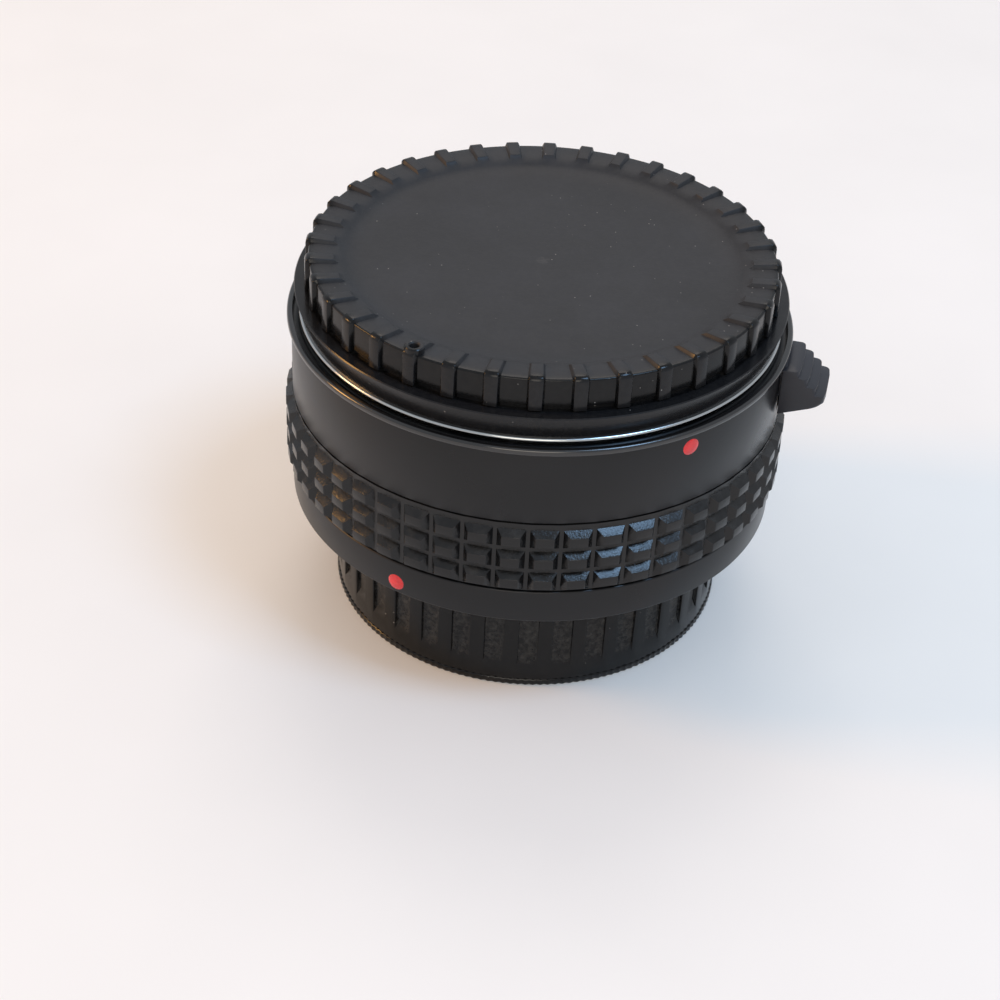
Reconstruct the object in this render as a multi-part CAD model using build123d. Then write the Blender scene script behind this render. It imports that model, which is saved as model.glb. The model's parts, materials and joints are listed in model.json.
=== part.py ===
"""Camera teleconverter with both caps on, standing on its camera side.

Millimetres. The optical axis is Z and the lens side is up. The rear cap's base is at Z = 0.
An azimuth is an angle about Z, measured from the front (-Y) towards +X.
"""
from math import asin, cos, degrees, pi, sin
from pathlib import Path

from build123d import *

# Bayonet, the same on the lens side and on the camera side
COLLAR_R = 22.0            # outside of the male collar
COLLAR_WALL = 1.8
LUG_REACH = 2.0            # how far a lug stands out of the collar
LUG_DEPTH = 4.4            # flange to the far face of a lug
LUG_THICK = 1.5
LUG_SPANS = (54.0, 48.0, 48.0)      # degrees; one wide lug, so a lens goes in one way only
SECTOR_SHARE = 1 / len(LUG_SPANS)
INSERT_PLAY = 2.0          # degrees free on each side of a lug in its gap
BAYONET_PLAY = 0.3         # radial, male to female
PIN_INSET = 1.4            # lock-pin circle inside the shell's bore

# Heights along the axis
CAP_STAND = 15.2           # base of the rear cap to the camera-side flange
FLANGE_TO_FLANGE = 27.8
PLATE_THICK = 1.7
RING_REVEAL = 0.7          # the rear plate stands this far proud of the rear ring
REAR_RING_H = 4.75
GRIP_SEAM = 0.25           # shadow line on either side of the grip
GRIP_H = 10.15
MOUNT_RING_THICK = 1.55
LIP_DROP = 0.6             # flange to the top of the glossy lip
LIP_H = 0.95

# Radii of the outside, worked outwards from the bayonet
FLANGE_W = 5.1             # from the throat to the shell's bore, for the pin and the screws
SHELL_WALL = 2.9
GRIP_WALL = 1.6
GRIP_DEPTH = 0.85          # depth of the grooves between the blocks
GRIP_PROUD = 1.0
REAR_RING_PROUD = 0.15
PLATE_PROUD = 0.4          # rear plate past the shell's bore
LIP_PROUD = 0.55
LIP_WALL = 0.7
MOUNT_RING_INSET = 1.0
EDGE = 0.3                 # small broken edge
FIT = 0.05                 # radial gap of a screwed or pushed fit
RUN = 0.08                 # radial gap of a running fit
PLAY = 0.1                 # axial gap of a running fit
GAP = 0.3                  # clearance between pieces that pass
OVER = 1.0                 # overrun of every cut

# Grip pattern
GRIP_COLUMNS = 50
GRIP_AZ = -0.7             # groove nearest the front
GRIP_ROWS = 3
ROW_PITCH = 3.27
BLOCK_H = 1.25             # flat top of a block, along the axis
BLOCK_SLOPE = 0.72
COLUMN_FLOOR = 0.5         # width of a groove between two columns at its bottom
COLUMN_SLOPE = 0.65
GRIP_TOP_RIM = 0.83

# Index dots: diameter, depth of the drilling, height of the domed paint
DOT_D = 2.3
DOT_DEPTH = 0.4
DOT_PROUD = 0.15
FRONT_DOT_AZ = 35.2
FRONT_DOT_DROP = 1.87      # below the top of the satin barrel
REAR_DOT_AZ = -30.8
REAR_DOT_RISE = 1.64       # above the bottom of the rear ring

# Front cap
CAP_BAND_PROUD = 0.55      # band past the mount ring
CAP_BAND_H = 3.25
CAP_FLARE = 0.4            # band is wider at its top by this much
CAP_CREST_INSET = 0.8      # rib crest inside the mount ring's edge
CAP_H = 7.95
CAP_RIBS = 36
CAP_RIB_OFFSET = -0.9      # azimuth of the rib nearest the front
RIB_CREST_W = 1.5
RIB_BASE_W = 2.1
RIB_PROUD = 0.55
RIB_RISE = 0.4
RIB_SPLAY = 0.3            # the crest is wider at its foot by this much
RIM_REACH = 4.35           # the ribs run this far in from the crest
RIM_FALL = 0.3             # the rim drops this much towards its inner edge
DISH_DROP = 1.3            # face below the rim
DISH_FILLET = 1.6
CAP_FACE_THICK = 1.8
CAP_WALL = 1.6
POCKET_H = 0.6
POCKET_DEPTH = 0.4
MARK_INSET = 1.4           # centre of the mark inside the rib crest
MARK_AZ = -30.9
MARK_OUTER = 1.25
MARK_INNER = 0.6
MARK_RISE = 0.1
CAP_SKIRT_H = 2.6          # clear height inside the front cap's outer skirt

# Rear cap
REAR_CAP_PLAY = 0.5        # round the lugs
REAR_CAP_WALL = 2.1
REAR_CAP_FLOOR = 2.0
FLUTES = 37
FLUTE_AZ = 1.2             # flute nearest the front
FLUTE_SHARE = 0.58         # of the pitch
FLUTE_DEPTH = 0.5
FLUTE_FOOT = 3.16
FLUTE_ROUND = 0.45
SCALLOPS = 168
SCALLOP_DEPTH = 0.18
FOOT_H = 0.9
FOOT_PROUD = 0.2
BASE_DISC_R = 11.0
BASE_RIM_W = 3.0
BASE_RECESS = 0.5
TAB_THICK = 1.5
TAB_LIFT = 0.25            # rear cap's tabs above the lugs they turn over

# Release lever, lock pin and their slide
LEVER_AZ = 78.4
LEVER_W = 7.6
NECK_W = 6.0
NECK_H = 4.2
NECK_ROOM = 0.6            # the slot starts this far inside the bore
LEVER_STEPS = 4
STEP_OUT = 1.165
STEP_DOWN = 1.06
STEP_LEAN = 0.12
FIRST_STEP = 2.4           # from the barrel's wall to the first ridge
PAD_GAP = 0.3              # pad to barrel
PAD_H = 6.7
PAD_TAPER = 1.9            # rise of the sloping lower edge
PAD_CHAMFER = 0.6
PAD_BOW_R = 12.0           # each step bows outwards with this radius
PAD_CORNER = 1.2
PAD_ARC = 60.0             # arc that the pad is cut from
LEVER_TOP_DROP = 0.63      # below the top of the satin barrel
LEVER_TRAVEL = 2.2
BLOCK_DEPTH = 3.6          # radial depth of the slide block inside the shell
BLOCK_TALL = 6.5
PIN_R = 1.0
PIN_RISE = 1.0             # pin above the flange at rest
PIN_ROOT = 2.8             # pin held in the block
PIN_TIP = 0.3
GUIDE_WALL = 1.2
GUIDE_FLOOR = 1.0
GUIDE_RAIL_H = 14.0
GUIDE_BASE_H = 4.6
ROD_R = 0.8
ROD_SINK = 0.8             # rod reaches this far into the block at rest
SPRING_WIRE = 0.22
SPRING_PLAY = 0.25
SPRING_TURNS = 6
NOTCH_R = 1.2              # lock notch in the rear plate
NOTCH_AZ_FROM_DOT = 43.0

# Front mount: shell flange, leaf springs, screws
FLANGE_UNDER = 0.6         # lug to the underside of the shell's flange
THROAT_PLAY = 0.1
LEAF_THICK = 0.25
LEAF_FLAT = 6.0
LEAF_REACH = 8.6
LEAF_DROP = 0.8
LEAF_TIP = 1.2
LEAF_WIDTH = 1.5
LEAF_ROOM = 6.0            # depth of the bent strip before it is cut to an arc
SCREWS = 5
SCREW_R = 0.8
SCREW_HEAD_R = 1.5
SCREW_HEAD_H = 0.8
SCREW_LENGTH = 3.6
SCREW_SINK = 0.05
SLOT_W = 0.4
SLOT_DEPTH = 0.35
FRONT_SCREW_AZ = LEVER_AZ + 180 / SCREWS
REAR_SCREW_INSET = 1.8
REAR_SCREW_AZ = 48.0

# Inside, from the collar's bore inwards
LEVER_CLEAR = 0.6
TAB_WALL = 0.8
RING_GAP = 0.6
FORK_WALL = 0.9
HUB_GAP = 0.5
HUB_WALL = 1.2
CELL_WALL = 1.5
DECK_THICK = 3.5
DECK_TROUGH = 3.6          # deck to the underside of the turning rings
TURNING_THICK = 1.2
KEEPER_THICK = 1.0
OUTER_RIM_H = 4.2
OUTER_RIM_W = 3.0
TUBE_REACH = 1.3           # simulator ring past its shelf
TUBE_WALL = 1.6
TUBE_TOP = 0.8             # outer tube above the simulator keeper
THROAT_WALL = 0.9
THROAT_INSET = 0.2
FRONT_LEVER_DROP = 3.0     # below the lens-side flange
REAR_LEVER_REACH = 7.2     # below the camera-side flange
TAB_DROP = 1.2             # simulator tabs are this much shorter
STOP_AZ = 150.0
STOP_SWEEP = 22.0
STOP_LEVER_W = 3.2
FORK_W = 5.2
FORK_SLOT = 2.4
FORK_SLOT_DEEP = 4.0
SIM_AZ = -100.0
SIM_SWEEP = 50.0
SIM_TAB_W = 4.4
SLOT_MARGIN = 4.0          # degrees past each end of a sweep
COIL_R = 0.45              # outside of the two long ring springs
COIL_LIFT = 0.5
COIL_SPAN = 44.0
POST_R = 0.45
POST_H = 2.4

# Lens cell, stacked upwards from its rear end
CELL_DROP = 5.7            # below the camera-side flange
REAR_GLASS_INSET = 2.0     # rear elements are smaller than the front ones
REAR_RETAINER_H = 1.4
REAR_GLASS_H = 2.3
REAR_SPACER_H = 2.4
FOURTH_GLASS_H = 2.4
SEPTUM_H = 1.0
PAIR_REAR_H = 1.6
CEMENT = 0.02
PAIR_FRONT_H = 3.4
FRONT_SPACER_H = 3.0
FRONT_GLASS_H = 2.2
FRONT_RETAINER_H = 2.2
CELL_LIP_H = 1.6
BEVEL = 1.2                # flat land round each element
GLASS_PLAY = 0.05
PAIR_BULGE = 0.8
FRONT_BULGES = (0.4, 1.4)
PAIR_HOLLOW = 1.3
FOURTH_HOLLOWS = (0.7, 0.5)
REAR_BULGES = (0.5, 0.9)
SPANNER_W = 1.2
SPANNER_DEEP = 0.8
TRIM_THICK = 0.8
TRIM_PROUD = 1.0
SHIELD_WALL = 0.9
SHIELD_REACH = 5.0
CHASSIS_SCREWS = 3
CHASSIS_SCREW_AZ = 20.0
CHASSIS_SCREW_RISE = 2.2   # above the deck
CHASSIS_SCREW_LENGTH = 3.4

# Derived heights
REAR_FLANGE_Z = CAP_STAND
FRONT_FLANGE_Z = REAR_FLANGE_Z + FLANGE_TO_FLANGE
PLATE_TOP_Z = REAR_FLANGE_Z + PLATE_THICK
RING_LOW_Z = REAR_FLANGE_Z + RING_REVEAL
RING_TOP_Z = RING_LOW_Z + REAR_RING_H
GRIP_LOW_Z = RING_TOP_Z + GRIP_SEAM
GRIP_TOP_Z = GRIP_LOW_Z + GRIP_H
SEAT_Z = FRONT_FLANGE_Z - MOUNT_RING_THICK
LIP_TOP_Z = FRONT_FLANGE_Z - LIP_DROP
BARREL_TOP_Z = LIP_TOP_Z - LIP_H
LUG_FAR_Z = FRONT_FLANGE_Z - LUG_DEPTH
UNDER_Z = LUG_FAR_Z - FLANGE_UNDER
DECK_Z = PLATE_TOP_Z + DECK_THICK
TURN_Z = DECK_Z + DECK_TROUGH
KEEPER_Z = TURN_Z + TURNING_THICK + PLAY
TUBE_TOP_Z = KEEPER_Z + KEEPER_THICK + TUBE_TOP
FRONT_DOT_Z = BARREL_TOP_Z - FRONT_DOT_DROP
REAR_DOT_Z = RING_LOW_Z + REAR_DOT_RISE
CHASSIS_SCREW_Z = DECK_Z + CHASSIS_SCREW_RISE

# Derived radii
COLLAR_BORE_R = COLLAR_R - COLLAR_WALL
LUG_R = COLLAR_R + LUG_REACH
TAB_R = COLLAR_R + BAYONET_PLAY
INSERT_R = LUG_R + BAYONET_PLAY + THROAT_PLAY
THROAT_R = INSERT_R + THROAT_PLAY
BORE_R = THROAT_R + FLANGE_W
BARREL_R = BORE_R + SHELL_WALL
PIN_CIRCLE_R = BORE_R - PIN_INSET
MOUNT_RING_R = BARREL_R - MOUNT_RING_INSET
LIP_R = BARREL_R + LIP_PROUD
GRIP_R = BARREL_R + GRIP_PROUD
GRIP_FLOOR_R = GRIP_R - GRIP_DEPTH
GRIP_BORE_R = GRIP_R - GRIP_WALL
SPIGOT_R = GRIP_BORE_R - EDGE - FIT
REAR_RING_R = BARREL_R + REAR_RING_PROUD
PLATE_R = BORE_R + PLATE_PROUD
CAP_BAND_R = MOUNT_RING_R + CAP_BAND_PROUD
CAP_CREST_R = MOUNT_RING_R - CAP_CREST_INSET
CAP_PANEL_R = CAP_CREST_R - RIB_PROUD
MARK_R = CAP_CREST_R - MARK_INSET
REAR_CAP_BORE_R = LUG_R + REAR_CAP_PLAY
REAR_CAP_R = REAR_CAP_BORE_R + REAR_CAP_WALL
SIM_OUTER_R = COLLAR_BORE_R - LEVER_CLEAR
SIM_INNER_R = SIM_OUTER_R - TAB_WALL
FORK_OUTER_R = SIM_INNER_R - RING_GAP
FORK_INNER_R = FORK_OUTER_R - FORK_WALL
HUB_R = FORK_INNER_R - HUB_GAP
HUB_BORE_R = HUB_R - HUB_WALL
CELL_R = HUB_BORE_R - FIT
GLASS_R = CELL_R - CELL_WALL
GLASS_CLEAR_R = GLASS_R - BEVEL
REAR_GLASS_R = GLASS_R - REAR_GLASS_INSET
REAR_CLEAR_R = REAR_GLASS_R - BEVEL
SHELF_R = SIM_OUTER_R + GAP
SIM_RING_R = SIM_OUTER_R + TUBE_REACH
TUBE_BORE_R = SIM_RING_R + RUN
TUBE_R = TUBE_BORE_R + TUBE_WALL
THROAT_TUBE_R = THROAT_R - THROAT_INSET
THROAT_TUBE_BORE_R = THROAT_TUBE_R - THROAT_WALL
REAR_SCREW_CIRCLE_R = PLATE_R - REAR_SCREW_INSET
ROD_CIRCLE_R = PIN_CIRCLE_R - PIN_R / 2

# Lens cell stack: the rear end first, then the top of each piece
CELL_Z = REAR_FLANGE_Z - CELL_DROP
STACK = [CELL_Z]
for height in (REAR_RETAINER_H, REAR_GLASS_H, REAR_SPACER_H, FOURTH_GLASS_H, SEPTUM_H, PAIR_REAR_H,
               PAIR_FRONT_H, FRONT_SPACER_H, FRONT_GLASS_H, FRONT_RETAINER_H, CELL_LIP_H):
    STACK.append(STACK[-1] + height)

OUT = Path(__file__).resolve().parent / "parts"


def turned(points, arc=360.0):
    """Solid of revolution about Z from (radius, height) points."""
    face = Plane.XZ * make_face(Polyline(*points, close=True))
    return revolve(face, Axis.Z, arc)


def tube(inner, outer, low, high):
    """Plain tube, or a disc when the inner radius is zero."""
    return turned([(inner, low), (outer, low), (outer, high), (inner, high)])


def sector(inner, outer, low, high, azimuth, span):
    """Piece of a tube, centred on an azimuth."""
    piece = turned([(inner, low), (outer, low), (outer, high), (inner, high)], span)
    return Rot(0, 0, azimuth - 90 - span / 2) * piece


def around(azimuth, thing):
    """Turn something made at the front (-Y) to its azimuth."""
    return Rot(0, 0, azimuth) * thing


def block(width, inner, outer, low, high):
    """Box at the front: centred across, from one radius to another, from one height to another."""
    middle = Pos(0, -(inner + outer) / 2, (low + high) / 2)
    return middle * Box(width, outer - inner, high - low)


def post(radius, circle, low, high):
    """Upright cylinder at the front, on a circle about the axis."""
    return Pos(0, -circle, (low + high) / 2) * Cylinder(radius, high - low)


def spot(radius, height, inner, outer):
    """Cylinder at the front that lies along a radius."""
    lying = Rot(90, 0, 0) * Cylinder(radius, outer - inner)
    return Pos(0, -(inner + outer) / 2, height) * lying


def lug_azimuths(start):
    """Azimuth and span of the three lugs, the widest at the index."""
    step = 360 * SECTOR_SHARE
    return [(start + index * step, span) for index, span in enumerate(LUG_SPANS)]


def between_lugs(start, play):
    """Azimuth and span of the three spaces between the lugs, less some play at each side."""
    lugs = lug_azimuths(start)
    spaces = []
    for index, (azimuth, span) in enumerate(lugs):
        following, next_span = lugs[(index + 1) % len(lugs)]
        if following < azimuth:
            following += 360
        low = azimuth + span / 2 + play
        high = following - next_span / 2 - play
        spaces.append(((low + high) / 2, high - low))
    return spaces


def male_bayonet(flange, far, start):
    """Collar with three lugs at its far end. The far end may be above or below the flange."""
    sign = 1 if far > flange else -1
    piece = tube(COLLAR_BORE_R, COLLAR_R, min(flange, far), max(flange, far))
    near = far - sign * LUG_THICK
    for azimuth, span in lug_azimuths(start):
        piece += sector(COLLAR_R - FIT, LUG_R, min(near, far), max(near, far), azimuth, span)
    return piece


def rear_mount_plate():
    """Polished plate with the male bayonet, five countersunk holes and the lock notch."""
    plate = tube(COLLAR_BORE_R, PLATE_R, REAR_FLANGE_Z, PLATE_TOP_Z)
    plate += male_bayonet(REAR_FLANGE_Z, REAR_FLANGE_Z - LUG_DEPTH, REAR_DOT_AZ)
    for azimuth in rear_screw_azimuths():
        plate -= around(azimuth, screw_room(REAR_FLANGE_Z, -1, REAR_SCREW_CIRCLE_R))
    notch = post(NOTCH_R, REAR_SCREW_CIRCLE_R, REAR_FLANGE_Z - OVER, PLATE_TOP_Z + OVER)
    return plate - around(REAR_DOT_AZ + NOTCH_AZ_FROM_DOT, notch)


def rear_screw_azimuths():
    return [REAR_SCREW_AZ + index * 360 / SCREWS for index in range(SCREWS)]


def front_screw_azimuths():
    return [FRONT_SCREW_AZ + index * 360 / SCREWS for index in range(SCREWS)]


def screw_profile(play):
    """Half section of a countersunk screw whose head is at height zero and whose shank points down."""
    head = SCREW_HEAD_R + play
    shank = SCREW_R + play
    taper = SCREW_HEAD_H - SCREW_SINK
    return [(0, 0), (head, 0), (head, -SCREW_SINK), (shank, -taper), (shank, -SCREW_LENGTH), (0, -SCREW_LENGTH)]


def screw_room(face, sign, circle):
    """Cutter for a countersunk screw in a face; sign 1 for a face that looks up, -1 for one that looks down."""
    room = turned(screw_profile(FIT)) + tube(0, SCREW_HEAD_R + FIT, -SCREW_SINK, OVER)
    flip = Rot(0, 0, 0) if sign > 0 else Rot(180, 0, 0)
    return Pos(0, -circle, face - sign * SCREW_SINK) * (flip * room)


def screw(face, sign, circle, azimuth):
    """Countersunk screw with a cross recess, its head just under the face."""
    body = turned(screw_profile(0))
    for turn in (0, 90):
        body -= Rot(0, 0, turn) * Box(SCREW_HEAD_R, SLOT_W, 2 * SLOT_DEPTH)
    flip = Rot(0, 0, 0) if sign > 0 else Rot(180, 0, 0)
    return around(azimuth, Pos(0, -circle, face - sign * SCREW_SINK) * (flip * body))


def lever_slot():
    """Room in the shell's wall for the neck of the release lever."""
    top = BARREL_TOP_Z - LEVER_TOP_DROP + PLAY
    low = top - NECK_H - LEVER_TRAVEL - GAP
    return around(LEVER_AZ, block(NECK_W + 2 * PLAY, BORE_R - NECK_ROOM, LIP_R + OVER, low, top))


def dot_room(radius, azimuth, height):
    return around(azimuth, spot(DOT_D / 2 + FIT, height, radius - DOT_DEPTH, radius + OVER))


def index_dot(radius, azimuth, height):
    """Paint filling of a drilled dimple, slightly domed."""
    filled = spot(DOT_D / 2, height, radius - DOT_DEPTH, radius)
    dome_r = ((DOT_D / 2) ** 2 + DOT_PROUD ** 2) / (2 * DOT_PROUD)
    dome = Pos(0, -(radius + DOT_PROUD - dome_r), height) * Sphere(dome_r)
    cap = spot(DOT_D / 2, height, radius, radius + OVER) & dome
    return around(azimuth, filled + cap)


def barrel_shell():
    """Satin barrel with the glossy lip, the grip's seat, the rear spigot and the lens-side flange."""
    lip_low = BARREL_TOP_Z
    neck = BARREL_R - EDGE
    shell = turned([
        (BORE_R, PLATE_TOP_Z), (SPIGOT_R, PLATE_TOP_Z), (SPIGOT_R, RING_TOP_Z), (GRIP_BORE_R, RING_TOP_Z),
        (GRIP_BORE_R, GRIP_TOP_Z), (BARREL_R - EDGE, GRIP_TOP_Z), (BARREL_R - EDGE, GRIP_TOP_Z + GRIP_SEAM),
        (BARREL_R, GRIP_TOP_Z + GRIP_SEAM), (BARREL_R, lip_low - EDGE / 2), (neck, lip_low),
        (LIP_R - EDGE, lip_low + FIT), (LIP_R, lip_low + EDGE), (LIP_R, LIP_TOP_Z - EDGE),
        (LIP_R - EDGE, LIP_TOP_Z), (LIP_R - LIP_WALL, LIP_TOP_Z), (LIP_R - LIP_WALL, SEAT_Z + EDGE / 2),
        (MOUNT_RING_R + PLAY, SEAT_Z + EDGE / 2), (MOUNT_RING_R + PLAY, SEAT_Z), (THROAT_R, SEAT_Z),
        (THROAT_R, UNDER_Z), (BORE_R, UNDER_Z),
    ])
    shell -= lever_slot()
    shell -= dot_room(BARREL_R, FRONT_DOT_AZ, FRONT_DOT_Z)
    shell -= around(LEVER_AZ, post(PIN_R + RUN, PIN_CIRCLE_R, UNDER_Z - OVER, SEAT_Z + OVER))
    for azimuth in front_screw_azimuths():
        shell -= around(azimuth, screw_room(FRONT_FLANGE_Z, 1, PIN_CIRCLE_R))
    for azimuth in chassis_screw_azimuths():
        shell -= around(azimuth, chassis_screw_room())
    return shell


def chassis_screw_azimuths():
    return [CHASSIS_SCREW_AZ + index * 360 / CHASSIS_SCREWS for index in range(CHASSIS_SCREWS)]


def lying_screw(play, overrun):
    """Countersunk screw body that lies along a radius, its head under the grip."""
    head = SCREW_HEAD_R + play
    shank = SCREW_R + play
    face = -PLAY
    points = [(0, face + overrun), (head, face + overrun), (head, face - SCREW_SINK), (shank, face - SCREW_HEAD_H),
              (shank, face - CHASSIS_SCREW_LENGTH), (0, face - CHASSIS_SCREW_LENGTH)]
    return Pos(0, -GRIP_BORE_R, CHASSIS_SCREW_Z) * (Rot(90, 0, 0) * turned(points))


def chassis_screw_room():
    return lying_screw(FIT, OVER)


def chassis_screw(azimuth):
    slot = Pos(0, -GRIP_BORE_R + PLAY, CHASSIS_SCREW_Z) * Box(2 * SCREW_HEAD_R, 2 * SLOT_DEPTH, SLOT_W)
    return around(azimuth, lying_screw(0, 0) - slot)


def rear_ring():
    """Smooth ring at the camera side, screwed on the shell's spigot."""
    ring_bore = SPIGOT_R + FIT
    lip_bore = PLATE_R + PLAY
    ring = turned([
        (lip_bore, RING_LOW_Z), (REAR_RING_R - EDGE / 2, RING_LOW_Z), (REAR_RING_R, RING_LOW_Z + EDGE / 2),
        (REAR_RING_R, RING_TOP_Z - EDGE / 2), (REAR_RING_R - EDGE / 2, RING_TOP_Z), (ring_bore, RING_TOP_Z),
        (ring_bore, PLATE_TOP_Z), (lip_bore, PLATE_TOP_Z),
    ])
    return ring - dot_room(REAR_RING_R, REAR_DOT_AZ, REAR_DOT_Z)


def grip_sleeve():
    """Rubber sleeve with rows and columns of raised blocks."""
    points = [(GRIP_BORE_R + FIT, GRIP_LOW_Z), (GRIP_FLOOR_R, GRIP_LOW_Z)]
    first = GRIP_TOP_Z - GRIP_TOP_RIM - (GRIP_ROWS - 1) * ROW_PITCH - BLOCK_SLOPE - BLOCK_H
    for row in range(GRIP_ROWS):
        low = first + row * ROW_PITCH
        points += [(GRIP_FLOOR_R, low - BLOCK_SLOPE), (GRIP_R, low), (GRIP_R, low + BLOCK_H),
                   (GRIP_FLOOR_R, low + BLOCK_H + BLOCK_SLOPE)]
    points += [(GRIP_FLOOR_R, GRIP_TOP_Z), (GRIP_BORE_R + FIT, GRIP_TOP_Z)]
    sleeve = turned(points)
    return sleeve - grip_notches()


def grip_notches():
    """All the grooves between the columns of blocks."""
    narrow = COLUMN_FLOOR / 2
    slope = COLUMN_SLOPE / GRIP_DEPTH
    wide = narrow + slope * (GRIP_DEPTH + OVER)
    outline = make_face(Polyline((-narrow, -GRIP_FLOOR_R), (-wide, -GRIP_R - OVER), (wide, -GRIP_R - OVER),
                                 (narrow, -GRIP_FLOOR_R), close=True))
    notch = Pos(0, 0, GRIP_LOW_Z - OVER) * extrude(outline, GRIP_H + 2 * OVER, dir=(0, 0, 1))
    step = 360 / GRIP_COLUMNS
    return [Rot(0, 0, GRIP_AZ + index * step) * notch for index in range(GRIP_COLUMNS)]


def front_mount_ring():
    """Polished female bayonet ring: three gaps for a lens's lugs, screw holes and the pin hole."""
    ring = turned([
        (TAB_R, SEAT_Z), (MOUNT_RING_R, SEAT_Z), (MOUNT_RING_R, FRONT_FLANGE_Z - EDGE),
        (MOUNT_RING_R - EDGE, FRONT_FLANGE_Z), (TAB_R, FRONT_FLANGE_Z),
    ])
    for azimuth, span in lug_azimuths(FRONT_DOT_AZ):
        ring -= sector(TAB_R - OVER, INSERT_R, SEAT_Z - OVER, FRONT_FLANGE_Z + OVER, azimuth,
                       span + 2 * INSERT_PLAY)
    for azimuth in front_screw_azimuths():
        ring -= around(azimuth, screw_room(FRONT_FLANGE_Z, 1, PIN_CIRCLE_R))
    return ring - around(LEVER_AZ, post(PIN_R + RUN, PIN_CIRCLE_R, SEAT_Z - OVER, FRONT_FLANGE_Z + OVER))


def leaf_spring(azimuth):
    """Bent leaf under one tab, which presses a lens's lug away from the flange."""
    flat = LEAF_FLAT / 2
    tip = LEAF_REACH + LEAF_TIP
    high = SEAT_Z
    low = SEAT_Z - LEAF_DROP
    rise = low + LEAF_DROP / 2
    upper = [(-tip, rise), (-LEAF_REACH, low), (-flat, high), (flat, high), (LEAF_REACH, low), (tip, rise)]
    lower = [(across, height - LEAF_THICK) for across, height in reversed(upper)]
    face = Plane.XZ * make_face(Polyline(*(upper + lower), close=True))
    strip = Pos(0, -THROAT_R, 0) * extrude(face, LEAF_ROOM, both=True)
    outer = THROAT_R - GAP
    return around(azimuth, strip & tube(outer - LEAF_WIDTH, outer, low - OVER, SEAT_Z + OVER))


def release_lever():
    """Thumb pad with curved steps, neck through the shell and slide block inside, in one piece."""
    top = BARREL_TOP_Z - LEVER_TOP_DROP
    inner = BARREL_R + PAD_GAP
    low = top - PAD_H
    outer = BARREL_R + FIRST_STEP + (LEVER_STEPS - 1) * STEP_OUT
    last = top - (LEVER_STEPS - 1) * STEP_DOWN
    points = [(inner, low), (outer - PAD_CHAMFER, low + PAD_TAPER), (outer, low + PAD_TAPER + PAD_CHAMFER),
              (outer, last)]
    for step in range(LEVER_STEPS - 2, -1, -1):
        ridge = BARREL_R + FIRST_STEP + step * STEP_OUT
        height = top - step * STEP_DOWN
        points += [(ridge, height - STEP_DOWN + STEP_LEAN), (ridge, height)]
    points += [(inner, top)]
    pad = Rot(0, 0, -90 - PAD_ARC / 2) * turned(points, PAD_ARC)
    pad &= pad_plans(inner - OVER, low - OVER, top)
    neck = block(NECK_W, BORE_R - GAP, inner + GAP, top - NECK_H, top)
    face = PIN_CIRCLE_R + PIN_R + GAP / 2
    slide = block(NECK_W, PIN_CIRCLE_R - BLOCK_DEPTH / 2, face, UNDER_Z - BLOCK_TALL, UNDER_Z)
    root = block(NECK_W, PIN_CIRCLE_R, BORE_R + GAP, top - NECK_H, UNDER_Z)
    lever = pad + neck + slide + root
    lever -= post(PIN_R, PIN_CIRCLE_R, UNDER_Z - PIN_ROOT, UNDER_Z + OVER)
    lever -= post(ROD_R + PLAY, ROD_CIRCLE_R, UNDER_Z - BLOCK_TALL - OVER,
                  UNDER_Z - BLOCK_TALL + ROD_SINK + LEVER_TRAVEL + GAP)
    return around(LEVER_AZ, lever)


def pad_plans(inner, low, top):
    """Plan shape of every step of the pad: straight sides, a bowed front and rounded corners."""
    plans = None
    for step in range(LEVER_STEPS):
        ridge = BARREL_R + FIRST_STEP + step * STEP_OUT
        high = top - step * STEP_DOWN + STEP_LEAN
        plan = block(LEVER_W, inner, ridge, low, high) & post(PAD_BOW_R, ridge - PAD_BOW_R, low, high)
        corners = plan.edges().filter_by(Axis.Z).sort_by(Axis.Y)[:2]
        plan = fillet(corners, PAD_CORNER)
        plans = plan if plans is None else plans + plan
    return plans


def lock_pin():
    """Steel pin that locks a lens, pressed in the slide block."""
    top = FRONT_FLANGE_Z + PIN_RISE
    low = UNDER_Z - PIN_ROOT
    pin = turned([(0, low), (PIN_R, low), (PIN_R, top - PIN_TIP), (PIN_R - PIN_TIP, top), (0, top)])
    return around(LEVER_AZ, Pos(0, -PIN_CIRCLE_R, 0) * pin)


def release_guide():
    """Bracket on the deck: two rails beside the slide block and a floor for its spring."""
    inner = PIN_CIRCLE_R - BLOCK_DEPTH / 2
    outer = PIN_CIRCLE_R + PIN_R + GAP / 2
    wide = NECK_W + 2 * (GUIDE_WALL + PLAY)
    floor = DECK_Z + GUIDE_BASE_H
    body = block(wide, inner, outer, DECK_Z, DECK_Z + GUIDE_RAIL_H)
    room = block(NECK_W + 2 * PLAY, inner - OVER, outer + OVER, floor, DECK_Z + GUIDE_RAIL_H + OVER)
    under = block(NECK_W - 2 * PLAY, inner - OVER, outer + OVER, DECK_Z + GUIDE_FLOOR, floor - GUIDE_FLOOR)
    body = body - room - under
    body &= tube(inner - OVER, BORE_R - FIT, DECK_Z, DECK_Z + GUIDE_RAIL_H + OVER)
    hole = post(ROD_R, ROD_CIRCLE_R, floor - GUIDE_FLOOR - OVER, floor + OVER)
    return around(LEVER_AZ, body - hole)


def guide_rod():
    """Rod that keeps the lock-pin spring in place."""
    low = DECK_Z + GUIDE_BASE_H - GUIDE_FLOOR
    return around(LEVER_AZ, post(ROD_R, ROD_CIRCLE_R, low, UNDER_Z - BLOCK_TALL + ROD_SINK))


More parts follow.
